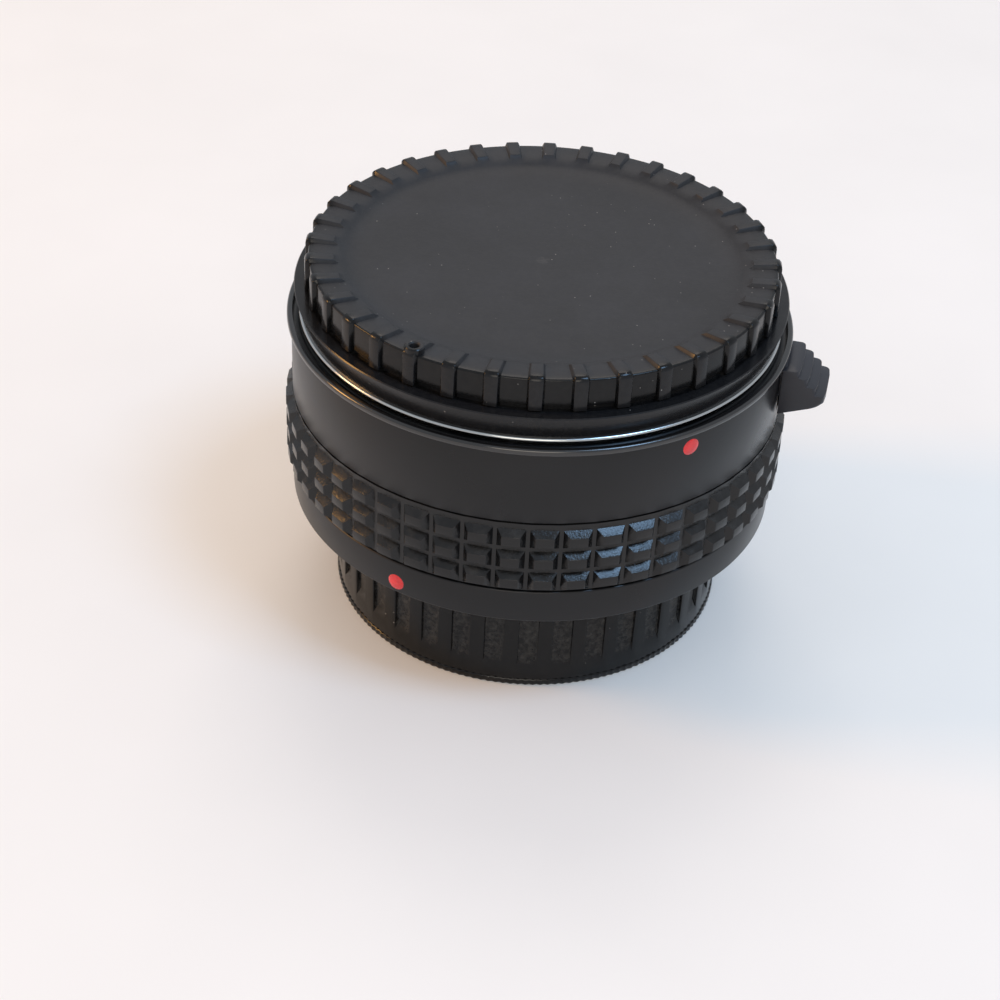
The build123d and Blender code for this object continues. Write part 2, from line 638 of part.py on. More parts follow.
def lock_spring():
    """Coil spring between the guide's floor and the slide block."""
    low = DECK_Z + GUIDE_BASE_H + SPRING_WIRE
    high = UNDER_Z - BLOCK_TALL - SPRING_WIRE
    coil = Helix(pitch=(high - low) / SPRING_TURNS, height=high - low, radius=ROD_R + SPRING_PLAY + SPRING_WIRE)
    section = Plane(coil @ 0, z_dir=coil % 0) * Circle(SPRING_WIRE)
    return around(LEVER_AZ, Pos(0, -ROD_CIRCLE_R, low) * sweep(section, path=coil))


def chassis():
    """Deck with hub, outer tube and rim; slots let the two levers reach through the deck."""
    body = turned([
        (HUB_BORE_R, PLATE_TOP_Z), (BORE_R - FIT, PLATE_TOP_Z), (BORE_R - FIT, DECK_Z + OUTER_RIM_H),
        (BORE_R - OUTER_RIM_W, DECK_Z + OUTER_RIM_H), (BORE_R - OUTER_RIM_W, DECK_Z), (TUBE_R, DECK_Z),
        (TUBE_R, TUBE_TOP_Z), (TUBE_BORE_R, TUBE_TOP_Z), (TUBE_BORE_R, TURN_Z - PLAY), (SHELF_R, TURN_Z - PLAY),
        (SHELF_R, DECK_Z), (HUB_R, DECK_Z), (HUB_R, TURN_Z - PLAY), (HUB_BORE_R, TURN_Z - PLAY),
    ])
    for azimuth, sweep_angle, width, inner, outer in lever_paths():
        half = degrees(asin(width / 2 / inner))
        span = sweep_angle + 2 * (half + SLOT_MARGIN)
        body -= sector(inner - GAP, outer + GAP, PLATE_TOP_Z - OVER, DECK_Z + OVER, azimuth + sweep_angle / 2, span)
    for azimuth, sweep_angle, circle, half in spring_places():
        body += around(azimuth - half - COIL_SPAN, post(POST_R, circle, DECK_Z, DECK_Z + POST_H))
    for azimuth in rear_screw_azimuths():
        body -= around(azimuth, screw_room(REAR_FLANGE_Z, -1, REAR_SCREW_CIRCLE_R))
    for azimuth in chassis_screw_azimuths():
        body -= around(azimuth, chassis_screw_room())
    wide = NECK_W + 2 * (GUIDE_WALL + PLAY + GAP)
    room = block(wide, TUBE_R + GAP, BORE_R + OVER, DECK_Z, DECK_Z + OUTER_RIM_H + OVER)
    return body - around(LEVER_AZ, room)


def lever_paths():
    """Azimuth, sweep, width and radii of what reaches through the deck."""
    return [(STOP_AZ, STOP_SWEEP, STOP_LEVER_W, FORK_INNER_R, FORK_OUTER_R),
            (SIM_AZ, SIM_SWEEP, SIM_TAB_W, SIM_INNER_R, SIM_OUTER_R)]


def spring_places():
    """Azimuth, sweep, circle and half width in degrees of the lever that each long spring pulls."""
    places = []
    for azimuth, sweep_angle, width, inner, outer in lever_paths():
        circle = (inner + outer) / 2
        half = degrees(asin((width / 2 + FIT) / inner))
        places.append((azimuth, sweep_angle, circle, half))
    return places


def ring_spring(place):
    """Long coil spring laid round the deck, drawn as its outer surface."""
    azimuth, sweep_angle, circle, half = place
    clear = degrees((POST_R + FIT) / circle)
    height = DECK_Z + COIL_LIFT + COIL_R
    face = Plane.XZ * (Pos(circle, height) * Circle(COIL_R))
    arc = COIL_SPAN - clear
    return Rot(0, 0, azimuth - half - arc - 90) * revolve(face, Axis.Z, arc)


def chord_width(width, radius):
    """Angle in degrees under a width at a radius."""
    return 2 * degrees(asin(width / 2 / radius))


def stop_down_ring():
    """Ring round the hub with a fork towards the lens and a lever towards the camera."""
    ring = tube(CELL_R + RUN, FORK_OUTER_R, TURN_Z, TURN_Z + TURNING_THICK)
    fork_top = FRONT_FLANGE_Z - FRONT_LEVER_DROP
    fork = sector(FORK_INNER_R, FORK_OUTER_R, TURN_Z, fork_top, STOP_AZ, chord_width(FORK_W, FORK_OUTER_R))
    slot = block(FORK_SLOT, FORK_INNER_R - OVER, FORK_OUTER_R + OVER, fork_top - FORK_SLOT_DEEP, fork_top + OVER)
    fork -= around(STOP_AZ, slot)
    low = REAR_FLANGE_Z - REAR_LEVER_REACH
    span = chord_width(STOP_LEVER_W, FORK_OUTER_R)
    lever = sector(FORK_INNER_R, FORK_OUTER_R, low, TURN_Z + TURNING_THICK, STOP_AZ, span)
    return ring + fork + lever


def simulator_ring():
    """Ring in the outer tube with a tab towards the lens and a tab towards the camera."""
    ring = tube(SIM_INNER_R, SIM_RING_R, TURN_Z, TURN_Z + TURNING_THICK)
    low = REAR_FLANGE_Z - REAR_LEVER_REACH + TAB_DROP
    high = FRONT_FLANGE_Z - FRONT_LEVER_DROP - TAB_DROP
    span = chord_width(SIM_TAB_W, SIM_OUTER_R)
    return ring + sector(SIM_INNER_R, SIM_OUTER_R, low, high, SIM_AZ, span)


def stop_down_keeper():
    return tube(CELL_R, FORK_INNER_R - GAP, KEEPER_Z, KEEPER_Z + KEEPER_THICK)


def simulator_keeper():
    return tube(SHELF_R, TUBE_BORE_R, KEEPER_Z, KEEPER_Z + KEEPER_THICK)


def throat_tube():
    """Black tube that closes the throat off from the lever's slide."""
    return tube(THROAT_TUBE_BORE_R, THROAT_TUBE_R, DECK_Z, UNDER_Z)


def lens_cell():
    """Tube that holds the glass: front bore, septum and smaller rear bore."""
    front = GLASS_R + GLASS_PLAY
    rear = REAR_GLASS_R + GLASS_PLAY
    top = STACK[-1]
    return turned([
        (rear, CELL_Z), (CELL_R, CELL_Z), (CELL_R, top), (front, top), (front, STACK[5]),
        (REAR_CLEAR_R + PLAY, STACK[5]), (REAR_CLEAR_R + PLAY, STACK[4]), (rear, STACK[4]),
    ])


def surface(clear, height, bulge):
    """Arc from the axis to the edge of the polished surface; a positive bulge goes up."""
    if not bulge:
        return [Line((0, height), (clear, height))]
    size = abs(bulge)
    sphere = (clear ** 2 + size ** 2) / (2 * size)
    half = asin(clear / sphere) / 2
    sign = 1 if bulge > 0 else -1
    centre = height + bulge - sign * sphere
    middle = (sphere * sin(half), centre + sign * sphere * cos(half))
    return [ThreePointArc((0, height + bulge), middle, (clear, height))]


def element(radius, clear, low, high, low_bulge, high_bulge):
    """Lens element with a flat land round both polished surfaces."""
    edges = surface(clear, high, high_bulge)
    edges += [Line((clear, high), (radius, high)), Line((radius, high), (radius, low)),
              Line((radius, low), (clear, low))]
    edges += surface(clear, low, low_bulge)
    edges += [Line((0, low + low_bulge), (0, high + high_bulge))]
    return revolve(Plane.XZ * make_face(edges), Axis.Z, 360)


def spanner_slots(radius, top):
    """Two slots for a spanner across the top of a retaining ring."""
    return Pos(0, 0, top) * Box(2 * (radius + OVER), SPANNER_W, 2 * SPANNER_DEEP)


def front_retainer():
    ring = tube(GLASS_CLEAR_R, GLASS_R, STACK[9], STACK[10])
    return ring - spanner_slots(GLASS_R, STACK[10])


def rear_retainer():
    ring = tube(REAR_CLEAR_R, REAR_GLASS_R, STACK[0], STACK[1])
    return ring - spanner_slots(REAR_GLASS_R, STACK[0])


def trim_ring():
    """Bare ring on the cell's front end."""
    return turned([
        (GLASS_CLEAR_R + PLAY, STACK[-1]), (CELL_R + TRIM_PROUD, STACK[-1]),
        (CELL_R + TRIM_PROUD, STACK[-1] + TRIM_THICK - EDGE), (CELL_R + TRIM_PROUD - EDGE, STACK[-1] + TRIM_THICK),
        (GLASS_R, STACK[-1] + TRIM_THICK),
    ])


def rear_light_shield():
    """Thin tube round the rear of the cell, up against the deck."""
    inner = CELL_R + FIT
    return tube(inner, inner + SHIELD_WALL, PLATE_TOP_Z - SHIELD_REACH, PLATE_TOP_Z)


def front_cap():
    """Cap on the lens side: ribbed rim, dished face, outer skirt and male bayonet."""
    low = FRONT_FLANGE_Z
    band = low + CAP_BAND_H
    top = low + CAP_H
    crest = CAP_PANEL_R
    rim_in = CAP_CREST_R - RIM_REACH
    rim_z = top - RIB_RISE
    dish = rim_z - DISH_DROP
    skirt_bore = CAP_BAND_R - CAP_FLARE - CAP_WALL
    body = turned([
        (0, dish - CAP_FACE_THICK), (COLLAR_R - EDGE, dish - CAP_FACE_THICK),
        (COLLAR_R - EDGE, low + CAP_SKIRT_H), (skirt_bore, low + CAP_SKIRT_H), (skirt_bore, low),
        (CAP_BAND_R - CAP_FLARE, low), (CAP_BAND_R, band - EDGE), (CAP_BAND_R - EDGE / 2, band),
        (crest - POCKET_DEPTH, band), (crest - POCKET_DEPTH, band + POCKET_H), (crest, band + POCKET_H),
        (crest, rim_z - EDGE), (crest - EDGE, rim_z), (rim_in, rim_z - RIM_FALL),
        (rim_in - DISH_FILLET / 2, dish + EDGE), (rim_in - DISH_FILLET, dish), (0, dish),
    ])
    body += male_bayonet(dish - CAP_FACE_THICK + FIT, LUG_FAR_Z, FRONT_DOT_AZ)
    body += cap_ribs(band, top, rim_in, rim_z)
    mark = tube(0, MARK_OUTER, rim_z - EDGE, top + MARK_RISE) - tube(0, MARK_INNER, top - EDGE, top + OVER)
    return body + around(MARK_AZ, Pos(0, -MARK_R, 0) * mark)


def cap_ribs(band, top, rim_in, rim_z):
    """Ribs that run over the rim and down the side."""
    foot = CAP_CREST_R + RIB_SPLAY
    root = CAP_PANEL_R - POCKET_DEPTH - EDGE
    envelope = turned([
        (root, band), (foot, band), (CAP_CREST_R, top - EDGE), (CAP_CREST_R - EDGE, top),
        (rim_in + EDGE, rim_z + EDGE / 2), (rim_in, rim_z - RIM_FALL), (rim_in, rim_z - DISH_DROP + EDGE),
        (root, rim_z - DISH_DROP + EDGE),
    ])
    base = RIB_BASE_W / 2
    crest = RIB_CREST_W / 2
    plan = make_face(Polyline((-crest, -rim_in), (-base, -rim_in - EDGE), (-base, -CAP_PANEL_R),
                              (-crest, -foot), (-crest, -foot - OVER), (crest, -foot - OVER), (crest, -foot),
                              (base, -CAP_PANEL_R), (base, -rim_in - EDGE), (crest, -rim_in), close=True))
    rib = Pos(0, 0, band) * extrude(plan, top - band + OVER, dir=(0, 0, 1))
    step = 360 / CAP_RIBS
    ribs = [Rot(0, 0, CAP_RIB_OFFSET + index * step) * rib for index in range(CAP_RIBS)]
    return envelope & Compound(children=ribs)


def rear_cap():
    """Cap on the camera side: fluted wall, scalloped foot and three tabs inside."""
    top = REAR_FLANGE_Z
    cap = turned([
        (0, 0), (BASE_DISC_R, 0), (BASE_DISC_R + BASE_RECESS, BASE_RECESS),
        (REAR_CAP_R - BASE_RIM_W - BASE_RECESS, BASE_RECESS), (REAR_CAP_R - BASE_RIM_W, 0), (REAR_CAP_R, 0),
        (REAR_CAP_R, top - EDGE), (REAR_CAP_R - EDGE, top), (REAR_CAP_BORE_R, top),
        (REAR_CAP_BORE_R, REAR_CAP_FLOOR), (0, REAR_CAP_FLOOR),
    ])
    cap += scalloped_foot()
    cap -= flutes()
    high = REAR_FLANGE_Z - LUG_DEPTH + LUG_THICK + TAB_LIFT + TAB_THICK
    for azimuth, span in between_lugs(REAR_DOT_AZ, INSERT_PLAY):
        cap += sector(TAB_R, REAR_CAP_BORE_R + FIT, high - TAB_THICK, high, azimuth, span)
    return cap


def scalloped_foot():
    """Low foot ring with fine scallops round its edge."""
    outer = REAR_CAP_R + FOOT_PROUD
    points = []
    for index in range(2 * SCALLOPS):
        radius = outer if index % 2 else outer - SCALLOP_DEPTH
        angle = index * pi / SCALLOPS
        points.append((radius * cos(angle), radius * sin(angle)))
    disc = extrude(make_face(Polyline(*points, close=True)), FOOT_H, dir=(0, 0, 1))
    return disc - tube(0, REAR_CAP_R - EDGE, -OVER, FOOT_H + OVER)


def flutes():
    """Shallow upright flutes, open at the top and rounded at the foot."""
    pitch = 2 * pi * REAR_CAP_R / FLUTES
    height = REAR_FLANGE_Z - FLUTE_FOOT + OVER
    outline = RectangleRounded(pitch * FLUTE_SHARE, height, FLUTE_ROUND)
    cutter = extrude(Plane.XZ * outline, FLUTE_DEPTH + OVER, dir=(0, -1, 0))
    cutter = Pos(0, -REAR_CAP_R + FLUTE_DEPTH, FLUTE_FOOT + height / 2) * cutter
    return [Rot(0, 0, FLUTE_AZ + index * 360 / FLUTES) * cutter for index in range(FLUTES)]


def build():
    """Every piece under its node name."""
    pieces = {
        "front_cap": front_cap(),
        "rear_cap": rear_cap(),
        "barrel_shell": barrel_shell(),
        "grip_sleeve": grip_sleeve(),
        "rear_ring": rear_ring(),
        "front_index_dot": index_dot(BARREL_R, FRONT_DOT_AZ, FRONT_DOT_Z),
        "rear_index_dot": index_dot(REAR_RING_R, REAR_DOT_AZ, REAR_DOT_Z),
        "front_mount_ring": front_mount_ring(),
        "rear_mount_plate": rear_mount_plate(),
        "release_lever": release_lever(),
        "lock_pin": lock_pin(),
        "lock_spring": lock_spring(),
        "release_guide": release_guide(),
        "guide_rod": guide_rod(),
        "chassis": chassis(),
        "throat_tube": throat_tube(),
        "stop_down_ring": stop_down_ring(),
        "stop_down_keeper": stop_down_keeper(),
        "stop_down_spring": ring_spring(spring_places()[0]),
        "simulator_ring": simulator_ring(),
        "simulator_keeper": simulator_keeper(),
        "simulator_spring": ring_spring(spring_places()[1]),
        "lens_cell": lens_cell(),
        "rear_retainer": rear_retainer(),
        "rear_element": element(REAR_GLASS_R, REAR_CLEAR_R, STACK[1], STACK[2], -REAR_BULGES[0], REAR_BULGES[1]),
        "rear_spacer": tube(REAR_CLEAR_R, REAR_GLASS_R, STACK[2], STACK[3]),
        "fourth_element": element(REAR_GLASS_R, REAR_CLEAR_R, STACK[3], STACK[4], FOURTH_HOLLOWS[0],
                                  -FOURTH_HOLLOWS[1]),
        "pair_rear_element": element(GLASS_R, GLASS_CLEAR_R, STACK[5], STACK[6] - CEMENT, 0, PAIR_BULGE),
        "pair_front_element": element(GLASS_R, GLASS_CLEAR_R, STACK[6], STACK[7], PAIR_BULGE, -PAIR_HOLLOW),
        "front_spacer": tube(GLASS_CLEAR_R, GLASS_R, STACK[7], STACK[8]),
        "front_element": element(GLASS_R, GLASS_CLEAR_R, STACK[8], STACK[9], -FRONT_BULGES[0], FRONT_BULGES[1]),
        "front_retainer": front_retainer(),
        "trim_ring": trim_ring(),
        "rear_light_shield": rear_light_shield(),
    }
    for index, (azimuth, span) in enumerate(between_lugs(FRONT_DOT_AZ, INSERT_PLAY), 1):
        pieces[f"leaf_spring_{index}"] = leaf_spring(azimuth)
    for index, azimuth in enumerate(front_screw_azimuths(), 1):
        pieces[f"front_screw_{index}"] = screw(FRONT_FLANGE_Z, 1, PIN_CIRCLE_R, azimuth)
    for index, azimuth in enumerate(rear_screw_azimuths(), 1):
        pieces[f"rear_screw_{index}"] = screw(REAR_FLANGE_Z, -1, REAR_SCREW_CIRCLE_R, azimuth)
    for index, azimuth in enumerate(chassis_screw_azimuths(), 1):
        pieces[f"chassis_screw_{index}"] = chassis_screw(azimuth)
    return pieces


OUT.mkdir(parents=True, exist_ok=True)
for name, solid in build().items():
    export_step(solid, str(OUT / f"{name}.step"))
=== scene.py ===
"""Camera teleconverter with both caps on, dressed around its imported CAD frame."""
import json
import math

import bmesh
import bpy
from bpy.props import FloatProperty, FloatVectorProperty, IntProperty, PointerProperty
from bpy.types import Operator, Panel, PropertyGroup
from mathutils import Matrix, Vector


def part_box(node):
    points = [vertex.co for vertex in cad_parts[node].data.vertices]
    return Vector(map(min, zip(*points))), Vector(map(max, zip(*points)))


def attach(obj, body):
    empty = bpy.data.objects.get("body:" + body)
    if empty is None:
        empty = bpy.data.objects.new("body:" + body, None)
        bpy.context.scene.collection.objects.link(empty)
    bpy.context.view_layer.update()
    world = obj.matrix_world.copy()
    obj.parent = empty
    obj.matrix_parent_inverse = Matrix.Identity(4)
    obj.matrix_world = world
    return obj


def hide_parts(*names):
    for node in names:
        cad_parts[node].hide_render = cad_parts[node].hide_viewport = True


bl_info = {
    "name": "Teleconverter",
    "version": (1, 0, 0),
    "blender": (4, 5, 0),
    "location": "3D View > Sidebar > Converter",
    "description": "Models and finishes a camera teleconverter around its CAD frame",
    "category": "Object",
}

MM = 0.001

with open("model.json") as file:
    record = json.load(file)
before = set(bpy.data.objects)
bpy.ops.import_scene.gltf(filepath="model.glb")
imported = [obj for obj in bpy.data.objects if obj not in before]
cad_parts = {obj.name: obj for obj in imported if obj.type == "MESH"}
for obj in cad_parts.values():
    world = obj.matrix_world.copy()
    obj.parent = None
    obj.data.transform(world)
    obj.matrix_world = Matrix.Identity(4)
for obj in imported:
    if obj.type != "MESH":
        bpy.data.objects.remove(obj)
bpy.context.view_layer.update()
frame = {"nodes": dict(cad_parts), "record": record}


def low_z(node):
    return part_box(node)[0].z


def high_z(node):
    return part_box(node)[1].z


def reach(node):
    """Largest radius of a round node, from its box."""
    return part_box(node)[1].y


def linear(code):
    """sRGB hex colour as linear red, green and blue."""
    channels = [int(code[i:i + 2], 16) / 255 for i in (1, 3, 5)]
    return [c / 12.92 if c <= 0.04045 else ((c + 0.055) / 1.055) ** 2.4 for c in channels]


# Shared heights and radii in metres, and the lugs' spans, pitch and play in degrees
FLANGE_Z = high_z("front_mount_ring")
SEAT_Z = low_z("front_mount_ring")
PLATE_LOW_Z = low_z("rear_ring") - 0.7 * MM
PLATE_TOP_Z = high_z("rear_mount_plate")
RING_LOW_Z = low_z("rear_ring")
RING_TOP_Z = high_z("rear_ring")
GRIP_LOW_Z = low_z("grip_sleeve")
GRIP_TOP_Z = high_z("grip_sleeve")
UNDER_Z = high_z("throat_tube")
DECK_Z = low_z("throat_tube")
COLLAR_R = 22.0 * MM
COLLAR_BORE_R = 20.2 * MM
LUG_R = 24.0 * MM
LUG_DEPTH = 4.4 * MM
LUG_THICK = 1.5 * MM
LUG_SPANS = (54.0, 48.0, 48.0)
LUG_PITCH = 360 / len(LUG_SPANS)
TAB_R = 22.3 * MM
INSERT_R = 24.4 * MM
INSERT_PLAY = 2.0
THROAT_R = 24.5 * MM
BORE_R = 29.6 * MM
PIN_CIRCLE_R = 28.2 * MM
PIN_BORE_R = 1.08 * MM
MARK_CIRCLE_R = 29.3 * MM
PLATE_R = 30.0 * MM
REAR_SCREW_CIRCLE_R = 28.2 * MM
MOUNT_RING_R = reach("front_mount_ring")
LIP_R = reach("barrel_shell")
BARREL_R = LIP_R - 0.55 * MM
REAR_RING_R = reach("rear_ring")
GRIP_BORE_R = 31.9 * MM
SPIGOT_R = 31.55 * MM
GLASS_LAND = 1.2 * MM
FINE_EDGE = 0.06 * MM
NEAR = 0.01 * MM

# Azimuths in degrees, from the front (-Y) towards +X
FRONT_DOT_AZ = 35.2
REAR_DOT_AZ = -30.8
LEVER_AZ = 78.4
MARK_AZ = -30.9
CAP_RIB_AZ = -0.9
GRIP_GROOVE_AZ = -0.7
FLUTE_AZ = 1.2
FRONT_SCREWS_AZ = LEVER_AZ + 36.0
REAR_SCREWS_AZ = 48.0
LOCK_NOTCH_AZ = REAR_DOT_AZ + 43.0
SCREWS = 5


class ConverterSizes(PropertyGroup):
    """Sizes that a user would change."""

    cap_ribs: IntProperty(name="Cap ribs", description="Ribs round the front cap", default=36, min=12)
    rib_width: FloatProperty(name="Rib width", description="Width of a front cap rib at its foot",
                             default=2.1 * MM, unit="LENGTH", subtype="DISTANCE")
    rib_proud: FloatProperty(name="Rib height", description="How far a rib stands out of the cap",
                             default=0.5 * MM, unit="LENGTH", subtype="DISTANCE")
    grip_columns: IntProperty(name="Grip columns", description="Columns of blocks round the grip", default=50,
                              min=12)
    grip_depth: FloatProperty(name="Grip depth", description="Depth of the grooves between the blocks",
                              default=0.95 * MM, unit="LENGTH", subtype="DISTANCE")
    flutes: IntProperty(name="Flutes", description="Flutes round the rear cap", default=37, min=12)
    scallops: IntProperty(name="Scallops", description="Scallops round the rear cap's foot", default=168,
                          min=24)
    edge: FloatProperty(name="Edge", description="Rounding of small machined edges", default=0.1 * MM,
                        unit="LENGTH", subtype="DISTANCE")
    steps: IntProperty(name="Steps", description="Faces round a turned piece", default=240, min=48)


def colour_property(name, description, code):
    return FloatVectorProperty(name=name, description=description, subtype="COLOR", size=3, min=0, max=1,
                               default=linear(code))


class ConverterColours(PropertyGroup):
    """Colours of the finishes."""

    cap_plastic: colour_property("Cap plastic", "Textured face of the front cap", "#222224")
    plain_plastic: colour_property("Plain plastic", "Smooth sides of the two caps", "#09090a")
    satin_black: colour_property("Satin black", "Dyed aluminium of the barrel", "#0c0c0e")
    # The lever's colour is painted light: the barrel's dyed aluminium made lighter for the light the raised
    # lever catches.
    lever_lit_black: colour_property("Lever black", "Dyed and handled aluminium of the lever", "#29292d")
    lip_black: colour_property("Lip black", "Dyed and polished edge of the barrel", "#0c0c0d")
    rubber: colour_property("Rubber", "Rubber of the grip", "#0c0c0d")
    dot_red: colour_property("Dot red", "Paint of the index dots", "#d8181e")
    dust: colour_property("Dust", "Dust that settles on the caps and the grip", "#8d8983")
    chrome: colour_property("Chrome", "Plating of the two mounts", "#b9bcbd")
    floor: colour_property("Floor", "Table under the part", "#f1ece6")


def sizes():
    return bpy.context.scene.converter_sizes


def colours():
    return bpy.context.scene.converter_colours


# Materials

def add_node(tree, kind, values=None, links=None, **settings):
    """One node with its own settings, its input values and what feeds its inputs."""
    made = tree.nodes.new(kind)
    for name, value in settings.items():
        setattr(made, name, value)
    for socket, value in (values or {}).items():
        made.inputs[socket].default_value = value
    for socket, source in (links or {}).items():
        tree.links.new(source, made.inputs[socket])
    return made


def per(size_mm):
    """Texture scale for a pattern whose repeat is this many millimetres."""
    return 1 / (size_mm * MM)


def new_material(name, colour, **sockets):
    """Principled material with its Object coordinates, and the sockets that are the same all over."""
    material = bpy.data.materials.new(name)
    material.use_nodes = True
    tree = material.node_tree
    shader = tree.nodes["Principled BSDF"]
    shader.inputs["Base Color"].default_value = (*colour, 1)
    for socket, value in sockets.items():
        shader.inputs[socket.replace("_", " ")].default_value = value
    coords = add_node(tree, "ShaderNodeTexCoord").outputs["Object"]
    return material, tree, shader, coords


def noise(tree, coords, size_mm, detail=3.0, roughness=0.55):
    return add_node(tree, "ShaderNodeTexNoise",
                    {"Scale": per(size_mm), "Detail": detail, "Roughness": roughness},
                    {"Vector": coords}).outputs["Fac"]


def remap(tree, source, low, high, to_low=0.0, to_high=1.0):
    return add_node(tree, "ShaderNodeMapRange",
                    {"From Min": low, "From Max": high, "To Min": to_low, "To Max": to_high},
                    {"Value": source}).outputs["Result"]


def mix_colour(tree, share, first, second):
    """Mix two colours; each is a socket or a plain colour."""
    made = add_node(tree, "ShaderNodeMix", links={"Factor": share}, data_type="RGBA")
    for index, colour in ((6, first), (7, second)):
        if isinstance(colour, bpy.types.NodeSocket):
            tree.links.new(colour, made.inputs[index])
        else:
            made.inputs[index].default_value = (*colour, 1)
    return made.outputs[2]


def bump(tree, shader, height, strength, distance_mm):
    made = add_node(tree, "ShaderNodeBump", {"Strength": strength, "Distance": distance_mm * MM},
                    {"Height": height})
    tree.links.new(made.outputs["Normal"], shader.inputs["Normal"])


def specks(tree, coords, spacing_mm, size_share, patch_mm, patch_low):
    """Small scattered specks: the cores of some cells, in patches."""
    cells = add_node(tree, "ShaderNodeTexVoronoi", {"Scale": per(spacing_mm), "Randomness": 1.0},
                     {"Vector": coords}).outputs["Distance"]
    cores = remap(tree, cells, size_share, size_share * 0.6)
    patches = remap(tree, noise(tree, coords, patch_mm, 1.0), patch_low, patch_low + 0.08)
    return add_node(tree, "ShaderNodeMath", links={0: cores, 1: patches}, operation="MULTIPLY").outputs[0]


def upward(tree, low, high):
    """How much a surface looks up, from its own normal."""
    normal = add_node(tree, "ShaderNodeTexCoord").outputs["Normal"]
    z = add_node(tree, "ShaderNodeSeparateXYZ", links={"Vector": normal}).outputs["Z"]
    return remap(tree, z, low, high)


def from_axis(tree, coords, inner_mm, outer_mm):
    """Falls from one to zero between two distances from the axis."""
    flat = add_node(tree, "ShaderNodeVectorMath", {1: (1, 1, 0)}, {0: coords},
                    operation="MULTIPLY").outputs[0]
    reached = add_node(tree, "ShaderNodeVectorMath", links={0: flat}, operation="LENGTH").outputs["Value"]
    return remap(tree, reached, inner_mm * MM, outer_mm * MM, 1.0, 0.0)


def moulded_plastic(name, face_colour, side_colour, dust, face_mm, dusty_mm, proud_mm):
    """Injection-moulded ABS: glossy sides, a spark-eroded grain on the round face, dust where it shelters."""
    material, tree, shader, coords = new_material(name, side_colour, IOR=1.5, Specular_IOR_Level=0.26)
    rubbed = noise(tree, coords, 9.0, 4.0, 0.6)
    face = from_axis(tree, coords, face_mm - 0.5, face_mm + 0.5)
    pale = [min(1, c * 1.4 + 0.003) for c in face_colour]
    toned = mix_colour(tree, remap(tree, rubbed, 0.38, 0.68), face_colour, pale)
    # Past the proud radius, on the band and the ribs' crests, the side colour is painted three times lighter:
    # a painted sheen.
    sheen_colour = [c * 3 for c in side_colour]
    behind = from_axis(tree, coords, proud_mm - 0.1, proud_mm + 0.1)
    plain = mix_colour(tree, face, mix_colour(tree, behind, sheen_colour, side_colour), toned)
    mottled = noise(tree, coords, 0.7, 5.0, 0.75)
    sheltered = from_axis(tree, coords, dusty_mm - 0.3, dusty_mm)
    thickness = remap(tree, sheltered, 0.0, 1.0, 0.02, 0.13)
    film = add_node(tree, "ShaderNodeMath", links={0: remap(tree, mottled, 0.42, 0.7), 1: thickness},
                    operation="MULTIPLY").outputs[0]
    dusted = mix_colour(tree, film, plain, dust)
    spots = specks(tree, coords, 1.3, 0.07, 5.0, 0.5)
    tree.links.new(mix_colour(tree, spots, dusted, dust), shader.inputs["Base Color"])
    polish = add_node(tree, "ShaderNodeMath", {1: 0.28}, {0: face}, operation="MULTIPLY").outputs[0]
    worn = remap(tree, rubbed, 0.3, 0.7, 0.16, 0.24)
    tree.links.new(add_node(tree, "ShaderNodeMath", links={0: worn, 1: polish}, operation="ADD").outputs[0],
                   shader.inputs["Roughness"])
    bump(tree, shader, noise(tree, coords, 0.35, 2.0, 0.6), 0.25, 0.04)
    return material


def dyed_aluminium(name, colour, roughness, grain_mm=0.12, shine=0.34):
    """Bead-blasted aluminium, dyed black and sealed: a tight satin sheen with hardly any texture."""
    material, tree, shader, coords = new_material(name, colour, IOR=1.5, Specular_IOR_Level=shine)
    # Blasting is finer than one pixel, about 0.14 mm here, so its grain is drawn at about that size
    grain = noise(tree, coords, grain_mm, 2.0, 0.5)
    handled = noise(tree, coords, 14.0, 3.0, 0.5)
    tree.links.new(remap(tree, handled, 0.35, 0.65, roughness - 0.03, roughness + 0.05),
                   shader.inputs["Roughness"])
    pale = [min(1, c * 1.35 + 0.001) for c in colour]
    tree.links.new(mix_colour(tree, remap(tree, handled, 0.35, 0.7), colour, pale),
                   shader.inputs["Base Color"])
    bump(tree, shader, grain, 0.12, 0.02)
    return material


def grained_rubber(name, colour, dust):
    """Moulded rubber with a fine leather grain, and a trace of pale dust on what looks up."""
    material, tree, shader, coords = new_material(name, colour, IOR=1.5, Specular_IOR_Level=0.4)
    leather = noise(tree, coords, 0.28, 3.0, 0.6)
    blotch = noise(tree, coords, 2.2, 4.0, 0.65)
    settled = add_node(tree, "ShaderNodeMath", operation="MULTIPLY",
                       links={0: upward(tree, 0.15, 0.75), 1: remap(tree, blotch, 0.42, 0.72)}).outputs[0]
    film = add_node(tree, "ShaderNodeMath", {1: 0.06}, {0: settled}, operation="MULTIPLY").outputs[0]
    tree.links.new(mix_colour(tree, film, colour, dust), shader.inputs["Base Color"])
    tree.links.new(remap(tree, blotch, 0.35, 0.7, 0.17, 0.24), shader.inputs["Roughness"])
    bump(tree, shader, leather, 0.5, 0.06)
    return material


def plated_metal(name, colour, roughness):
    """Polished metal, plated or bare: bright and nearly sharp, with hairline scratches from mounting."""
    material, tree, shader, coords = new_material(name, colour, Metallic=1.0)
    hairs = noise(tree, coords, 0.25, 4.0, 0.7)
    worn = noise(tree, coords, 6.0, 3.0, 0.6)
    tree.links.new(remap(tree, worn, 0.3, 0.75, roughness, roughness + 0.12), shader.inputs["Roughness"])
    bump(tree, shader, hairs, 0.05, 0.02)
    return material


